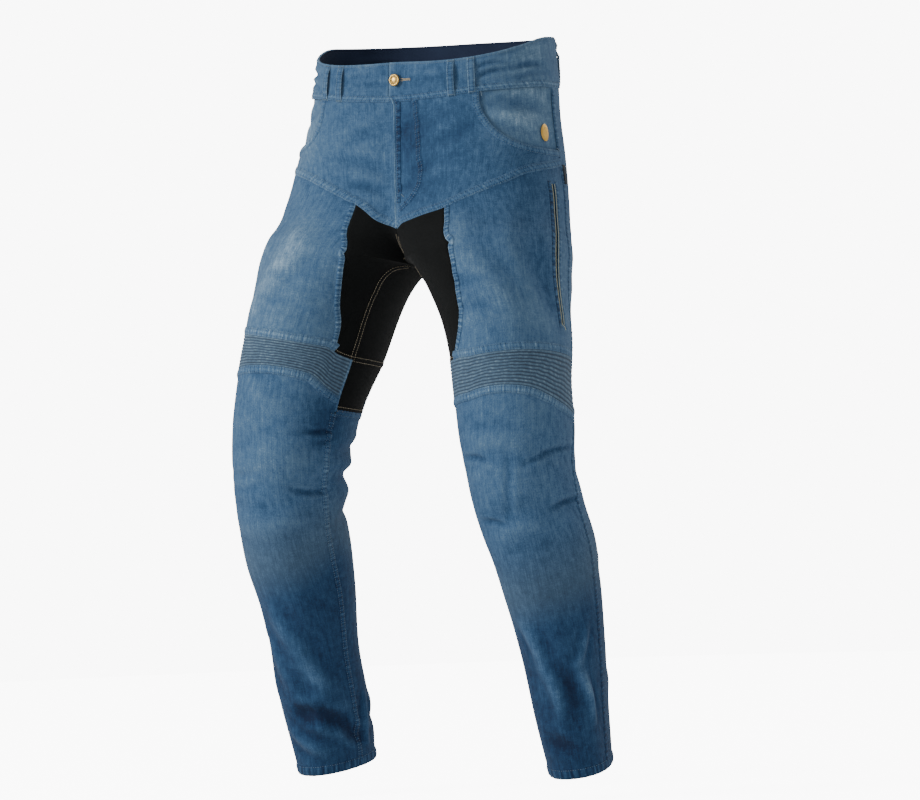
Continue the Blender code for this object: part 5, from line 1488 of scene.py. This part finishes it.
def makeBeltLoop(label, side, around, extra):
    k = loopLook
    bandEnd = float(seamRead(seams["bandLow"], around))
    end = bandEnd + k["below"]
    stations = np.array([k["top"], 0.006, 0.012, 0.022, 0.034, 0.046, bandEnd + 0.002, end])
    rises = np.array([0, 0.0, 0.7, 1, 1, 0.9, 0.75, 0.0]) * k["rise"]
    seats = k["wall"] + k["gap"] + extra + np.where(stations < bandEnd + 0.001, bandLook["lift"],
                                                    0.0)
    drops = np.linspace(k["top"], end, 46)
    profile = np.interp(drops, stations, rises + seats)
    half = k["width"] / 2 / float(girth(0.03))
    across = np.linspace(-1, 1, k["across"])
    drop, shift = np.meshgrid(drops, across, indexing="ij")
    place, normal = readSurface(side, drop, around + shift * half)
    centre = readSurface(side, drops, np.full(len(drops), around))[1]
    normal = np.repeat(centre[:, None], k["across"], axis=1)
    edge = np.abs(shift)
    rows = np.exp(-((edge - 0.62) / 0.16) ** 2)
    tacks = np.exp(-((drop - drops[0]) / 0.003) ** 2) + np.exp(-((drop - end) / 0.003) ** 2)
    lift = profile[:, None] - 0.0007 * edge**6 - 0.0003 * rows - 0.0004 * tacks
    wave = unevenWave(drop, 0.0075, around * 9 + side)
    lift = lift + clothLift(side, drop, np.full_like(drop, around)) + 0.00012 * wave
    points = place + normal * lift[..., None]
    # folded edges lighter as painted highlight, stitch rows darker as painted shade, and painted light
    # and shade follow the strip's wave
    fade = washAndShadeField(side, drop,
                     np.full_like(drop, around)) + k["fade"] + 0.34 * edge**5 - 0.20 * rows + 0.10 * wave
    fade = fade + 0.12 * tacks
    masks = dict(fade=np.clip(fade, 0, 1), tint=np.zeros(drop.shape))
    name = "beltLoop_" + label
    mesh = gridMesh(name, points, chartOf(drop, around + shift * half, 0.19), masks,
                    normal.mean(axis=(0, 1)))
    piece = linkPiece(name, mesh, "denim", cloths["washedDenim"])
    thicken(piece, k["wall"])
    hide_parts("belt_loop_" + label)
    for sign in (-0.62, 0.62):
        sewn = np.linspace(k["top"] + 0.002, end - 0.002, 18)
        spots, out = readSurface(side, sewn, np.full(18, around + sign * half))
        height = np.interp(sewn, stations, rises + seats) - 0.00015
        height = height + clothLift(side, sewn, np.full(18, around))
        keepStitches("tonalThread", side, spots + out * height[:, None], out, sewing["long"],
                     sewing["thick"])
    for at in (k["top"] + 0.0022, end - 0.0022):
        bartack(side, at, around, 0.0078, float(np.interp(at, stations, rises + seats)) + 0.0001,
                "tonalThread", 0.0)


def bartack(side, drop, around, long, lift, thread, angle, width=0.0016):
    # A short bar of close zigzag threads, laid along an angle from level
    count = int(long / 0.0005)
    span = np.linspace(-long / 2, long / 2, count)
    scale = float(girth(drop))
    drops = drop + span * sin(angle)
    rounds = around + span * cos(angle) / scale
    place, normal = readSurface(side, drops, rounds)
    ahead = np.gradient(place, axis=0)
    place = place + normal * (lift + clothLift(side, drops, rounds))[:, None]
    keepStitches(thread, side, place, normal, width / 2, 0.0003, ahead=np.cross(normal, ahead))


def roundLine(seam, start, end):
    return goRound(seam, start, end, shares(260))


def downLine(seam, start, end, shift=0.0, sign=1.0):
    return goDown(seam, start, end, shares(260), shift=shift, sign=sign)




def makeSeams(side):
    name = sideName(side)
    innerRound = corner("ribLow", "inseam", 0.479)[1]
    outerRound = corner("ribLow", "sideSeam", 0.505)[1]
    kneeRound = corner("kneeBack", "sideSeam", 0.500)[1]
    kneeInner = 1 + float(seamRead(seams["inseam"], kneeLevel))
    bandSide = float(seamRead(seams["bandLow"], 0.53))
    mouth = goAlong(seams["pocketMouth"], shares(260))
    gusset = goAlong(seams["gussetTop"], shares(120))
    hemStart = float(seamRead(seams["inseam"], form["hem"]))
    hemRow = rowOf(form["hem"])
    hemLine = np.stack([np.full(261, hemRow), np.linspace(hemStart, 1 + hemStart, 261)], 1)
    for label, line in (
            ("vSeam", roundLine("vSeam", 0.0, 0.53)),
            ("ribTop", roundLine("ribTop", 0.082, 0.53)),
            ("ribLow", roundLine("ribLow", innerRound, outerRound)),
            ("blackEdge", downLine("blackEdge", 0.240, 0.427)),
            ("pocketMouth", mouth),
            ("sideSeam", downLine("sideSeam", bandSide, form["hem"] - 0.012)),
            ("inseam", downLine("inseam", 0.503, form["hem"] - 0.012)),
            ("ribInner", downLine("inseam", 0.428, 0.500)),
            ("hem", hemLine),
            ("centreBack", goStraight(0.057, 0.247, 1.0, shares(200))),
            ("kneeBack", roundLine("kneeBack", kneeRound, kneeInner)),
            ("backEdge", downLine("blackBackEdge", 0.281, 0.503)),
    ):
        if label == "centreBack" and side < 0:
            continue
        seamBand("seam_" + label + name, side, line, bandLooks[label])
    seamBand("seam_gussetTop" + name, side, gusset, dict(bandLooks["backEdge"], start=-0.0008,
                                                         end=0.0072,
                                                         rows=(0.0026,)))
    twin = bandLooks["blackTwin"]
    seamBand("seam_blackInseam" + name, side, downLine("inseam", 0.299, 0.427), twin)
    seamBand("seam_blackLevelFront" + name, side, roundLine("ribTop", 0.0, 0.080),
             dict(twin, seed=15.5))
    seamBand("seam_blackLevelBack" + name, side, roundLine("backLevel", 0.808, 1.0),
             dict(twin, seed=16.0))
    kneeTwin = dict(twin, start=0.0004, end=0.0108, rows=(0.0026, 0.0086), seed=16.5)
    seamBand("seam_blackKneeLow" + name, side, roundLine("kneeBack", 0.863, kneeInner - 0.003),
             kneeTwin)
    if side > 0:
        seamBand("seam_crotchFront", side, goStraight(0.271, 0.294, 0.0, shares(120)),
                 dict(twin, seed=17.0))
        seamBand("seam_crotchBack", side, goStraight(0.249, 0.294, 1.0, shares(120)),
                 dict(twin, seed=18.0))
        seamBand("seam_flyEdge", side, downLine("flyEdge", 0.062, 0.262, sign=-1.0),
                 bandLooks["flyRoll"])


flyStitch = [(0.066, 0.062), (0.103, 0.067), (0.160, 0.071), (0.205, 0.068), (0.222, 0.058),
             (0.234, 0.038),
             (0.241, 0.014)]  # drop and round of the curved fly stitching


def makeBandSeam():
    # The band's lower seam goes round both sides, and a row of stitches runs under its top edge
    edge = float(seamRead(seams["flyEdge"], 0.06))
    look = bandLooks["bandLow"]
    seamBand("seam_bandLeft", 1, roundLine("bandLow", -edge, 1.0), look)
    seamBand("seam_bandRight", -1, roundLine("bandLow", edge, 1.0), dict(look, seed=2.7))
    top = dict(thread="tonalThread")
    for side, start in ((1, -edge), (-1, edge)):
        line = np.stack([np.full(260, rowOf(0.0034)), np.linspace(start, 1.0, 260)], 1)
        sewRow(side, line, 0.0, top, lift=bandLook["lift"] + 0.0001)
    side = 1
    curve = goAlong(flyStitch, shares(200))
    seamBand("seam_flyStitch", side, curve, bandLooks["flyStitch"])
    seamBand("seam_flySide", side, downLine("flyEdge", 0.068, 0.232, sign=-1.0),
             bandLooks["flySide"])
    for drop, around, angle in ((0.222, 0.040, 0.5), (0.206, 0.012, 1.2)):
        bartack(side, drop, around, 0.009, 0.0006, "tonalThread", angle)
    for side in (1, -1):
        bartack(side, 0.064, 0.276, 0.008, 0.0016, "tonalThread", 1.4)
        bartack(side, 0.155, 0.520, 0.008, 0.0016, "tonalThread", 0.3)


# Button, its hole, the badge and the tab
buttonLook = dict(drop=0.030, around=0.0, radius=0.0085, rise=0.0052, seat=0.0017, steps=48)


def frameAt(side, drop, around, lift):
    place, normal = readSurface(side, drop, around)
    ahead, _ = readSurface(side, drop, around + 0.004)
    across = Vector(ahead - place)
    out = Vector(normal)
    across = (across - out * across.dot(out)).normalized()
    return Vector(place) + out * lift, across, out.cross(across), out


def makeButton():
    k = buttonLook
    r, h = k["radius"], k["rise"]
    profile = [(0.0, 0.0), (0.42 * r, 0.0), (0.42 * r, 0.40 * h), (0.80 * r, 0.44 * h),
               (0.95 * r, 0.52 * h),
               (r, 0.66 * h), (0.97 * r, 0.84 * h), (0.88 * r, 0.97 * h), (0.78 * r, h),
               (0.70 * r, 0.94 * h),
               (0.64 * r, 0.80 * h), (0.56 * r, 0.78 * h), (0.50 * r, 0.86 * h),
               (0.30 * r, 0.92 * h), (0.0, 0.94 * h)]
    centre, across, up, out = frameAt(1, k["drop"], k["around"], k["seat"])
    bm = bmesh.new()
    line = [bm.verts.new(Vector((radius, 0, height))) for radius, height in profile]
    for a, b in zip(line, line[1:]):
        bm.edges.new((a, b))
    bmesh.ops.spin(bm, geom=bm.verts[:] + bm.edges[:], cent=(0, 0, 0), axis=(0, 0, 1), angle=2 * pi,
                   steps=k["steps"], use_merge=True)
    bmesh.ops.remove_doubles(bm, verts=bm.verts[:], dist=1e-5)
    for vert in bm.verts:
        vert.co = centre + across * vert.co.x + up * vert.co.y + out * vert.co.z
    bmesh.ops.recalc_face_normals(bm, faces=bm.faces[:])
    mesh = bpy.data.meshes.new("waistButton")
    bm.to_mesh(mesh)
    bm.free()
    mesh.shade_smooth()
    piece = linkPiece("waistButton", mesh, "brass", cloths["wornBrass"])
    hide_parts("waist_button")
    # A ring of small beads between the rim and the middle
    turn = np.linspace(0, 2 * pi, 24, endpoint=False)
    spots = np.array([centre + across * (0.60 * r * cos(t)) + up * (0.60 * r * sin(t)) + out * (0.80 * h) for t in turn])
    axes = np.tile(np.array([across, up, out]) * 0.00048, (24, 1, 1))
    linkPiece("buttonBeads", joinedCopies("buttonBeads", spots, axes), "brass", cloths["wornBrass"])


def makeButtonhole():
    # A keyhole worked in light thread: two close rows and a bar at the end
    drop, lift = buttonLook["drop"] - 0.0004, bandLook["lift"] + 0.0003
    scale = float(girth(drop))
    starts = np.linspace(0.0085, 0.0225, 30) / scale
    bulge = 0.0010 + 0.0009 * np.exp(-((starts * scale - 0.0100) / 0.0022) ** 2)
    for sign in (-1, 1):
        drops = drop + sign * bulge - 0.05 * (starts * scale - 0.0085)
        place, normal = readSurface(1, drops, starts)
        ahead = np.gradient(place, axis=0)
        place = place + normal * (lift + clothLift(1, drops, starts))[:, None]
        keepStitches("beigeThread", 1, place, normal, 0.0009, 0.00030,
                     ahead=np.cross(normal, ahead))
    bartack(1, drop - 0.0007, 0.0240 / scale, 0.0038, lift, "beigeThread", pi / 2)


badgeLook = dict(drop=0.132, around=0.470, halfWidth=0.0085, halfHeight=0.012, lift=-0.0018,
                 wall=0.0012)
tabLook = dict(drop=0.187, around=0.546, halfWidth=0.006, halfHeight=0.012, lift=0.0015,
               wall=0.0012)


def makePatch(name, node, k, cloth, slot, roundness):
    # A small flat piece with rounded corners that lies on a panel
    half = k["halfWidth"] / float(girth(k["drop"]))
    v, u = np.meshgrid(np.linspace(-1, 1, 25), np.linspace(-1, 1, 21), indexing="ij")
    drop = k["drop"] + v * np.sqrt(1 - roundness * u * u / 2) * k["halfHeight"]
    around = k["around"] + u * np.sqrt(1 - roundness * v * v / 2) * half
    place, normal = readSurface(1, drop, around)
    edge = np.maximum(np.abs(u), np.abs(v))
    crown = 1 - edge**6
    ring = np.exp(-((edge - 0.80) / 0.06) ** 2)
    lift = clothLift(1, drop, around) + k["lift"] + k["wall"] * (0.6 + 0.4 * crown) - 0.0002 * ring
    points = place + normal * lift[..., None]
    mesh = gridMesh(name, points, chartOf(drop, around), {}, normal.mean(axis=(0, 1)))
    piece = linkPiece(name, mesh, slot, cloths[cloth])
    thicken(piece, k["wall"])
    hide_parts(node)


makeWaistband()
for side in (1, -1):
    makeHipFront(side)
    makePocketFacing(side)
    makeThigh(side)
    makeBlacks(side)
    makeRibPanel(side)
    makeShin(side)
    makeBacks(side)
print("panels made")
for side in (1, -1):
    makeSeams(side)
makeBandSeam()
for label, (side, around, extra) in beltLoops.items():
    makeBeltLoop(label, side, around, extra)
makeButton()
makeButtonhole()
makePatch("pocketBadge", "pocket_badge", badgeLook, "goldBadge", "badge", 1.0)
makePatch("sideTab", "side_tab", tabLook, "wovenTab", "tab", 0.06)
finishStitches()
print("seams and trim made")


studio = dict(floorDrop=0.030, floorSize=3.2, floorColour=(0.86, 0.86, 0.86, 1),
              sky=(1.0, 1.0, 1.0, 1),
              skyLight=0.55, skySeen=9.0)


def makeStudio():
    bm = bmesh.new()
    bmesh.ops.create_circle(bm, cap_ends=True, segments=96, radius=studio["floorSize"])
    for vert in bm.verts:
        vert.co.z = cadBox[0][2] - studio["floorDrop"]
    mesh = bpy.data.meshes.new("floor")
    bm.to_mesh(mesh)
    bm.free()
    floor = bpy.data.objects.new("floor", mesh)
    bpy.context.scene.collection.objects.link(floor)
    pale, tree, surface = startMaterial("paleFloor", {"Base Color": studio["floorColour"],
                                                      "Roughness": 0.9})
    mesh.materials.append(pale)
    surface.inputs["Emission Color"].default_value = studio["sky"]
    seen = addNode(tree, "ShaderNodeLightPath").outputs["Is Camera Ray"]
    tree.links.new(maths(tree, "MULTIPLY", seen, studio["skySeen"]),
                   surface.inputs["Emission Strength"])
    world = bpy.data.worlds.new("studio")
    bpy.context.scene.world = world
    world.use_nodes = True
    around = world.node_tree
    seen = addNode(around, "ShaderNodeLightPath").outputs["Is Camera Ray"]
    extra = maths(around, "MULTIPLY", seen, studio["skySeen"] - studio["skyLight"])
    background = around.nodes["Background"]
    background.inputs["Color"].default_value = studio["sky"]
    around.links.new(maths(around, "ADD", extra, studio["skyLight"]), background.inputs["Strength"])


def addLamp(name, place, target, size, power):
    lamp = bpy.data.lights.new(name, "AREA")
    lamp.shape = "DISK"
    lamp.size = size
    lamp.energy = power
    item = bpy.data.objects.new(name, lamp)
    item.location = place
    item.rotation_euler = (Vector(target) - Vector(place)).to_track_quat("-Z", "Y").to_euler()
    bpy.context.scene.collection.objects.link(item)


lamps = dict(
    key=((-2.2, -2.8, 1.0), (0.0, 0.0, -0.5), 1.2, 130.0),
    fill=((2.8, -2.4, 0.2), (0.0, 0.0, -0.5), 2.2, 24.0),
    back=((0.8, 3.0, 1.4), (0.0, 0.0, -0.5), 2.0, 30.0),
)

# The photograph's camera: turned about the wearer, almost level, from far away
shot = dict(turn=33.0, rise=1.0, lean=2.0, metresPerPixel=0.00138, distance=9.0, width=920,
            height=800,
            anchorPixel=(440, 400), waistPixel=(444.5, 42.5), sensor=36.0)


def makeCamera():
    k = shot
    a, e, lean = radians(k["turn"]), radians(k["rise"]), radians(k["lean"])
    back = Vector((sin(a) * cos(e), -cos(a) * cos(e), sin(e)))
    right = Vector((cos(a), sin(a), 0))
    up = back.cross(right)
    scale = k["metresPerPixel"]
    target = right * ((k["anchorPixel"][0] - k["waistPixel"][0]) * scale)
    target -= up * ((k["anchorPixel"][1] - k["waistPixel"][1]) * scale)
    middle = k["width"] / 2 - k["anchorPixel"][0]
    target += right * (middle * cos(lean) * scale) - up * (middle * sin(lean) * scale)
    camRight = right * cos(lean) - up * sin(lean)
    camUp = up * cos(lean) + right * sin(lean)
    lens = bpy.data.cameras.new("photo")
    lens.sensor_width = k["sensor"]
    lens.lens = k["sensor"] * k["distance"] / (k["width"] * scale)
    lens.clip_end = 100
    camera = bpy.data.objects.new("photo", lens)
    bpy.context.scene.collection.objects.link(camera)
    place = target + back * k["distance"]
    turned = Matrix((camRight, camUp, back)).transposed()
    camera.matrix_world = Matrix.Translation(place) @ turned.to_4x4()
    bpy.context.scene.camera = camera


makeStudio()
for name, settings in lamps.items():
    addLamp(name, *settings)
makeCamera()
print("studio ready")
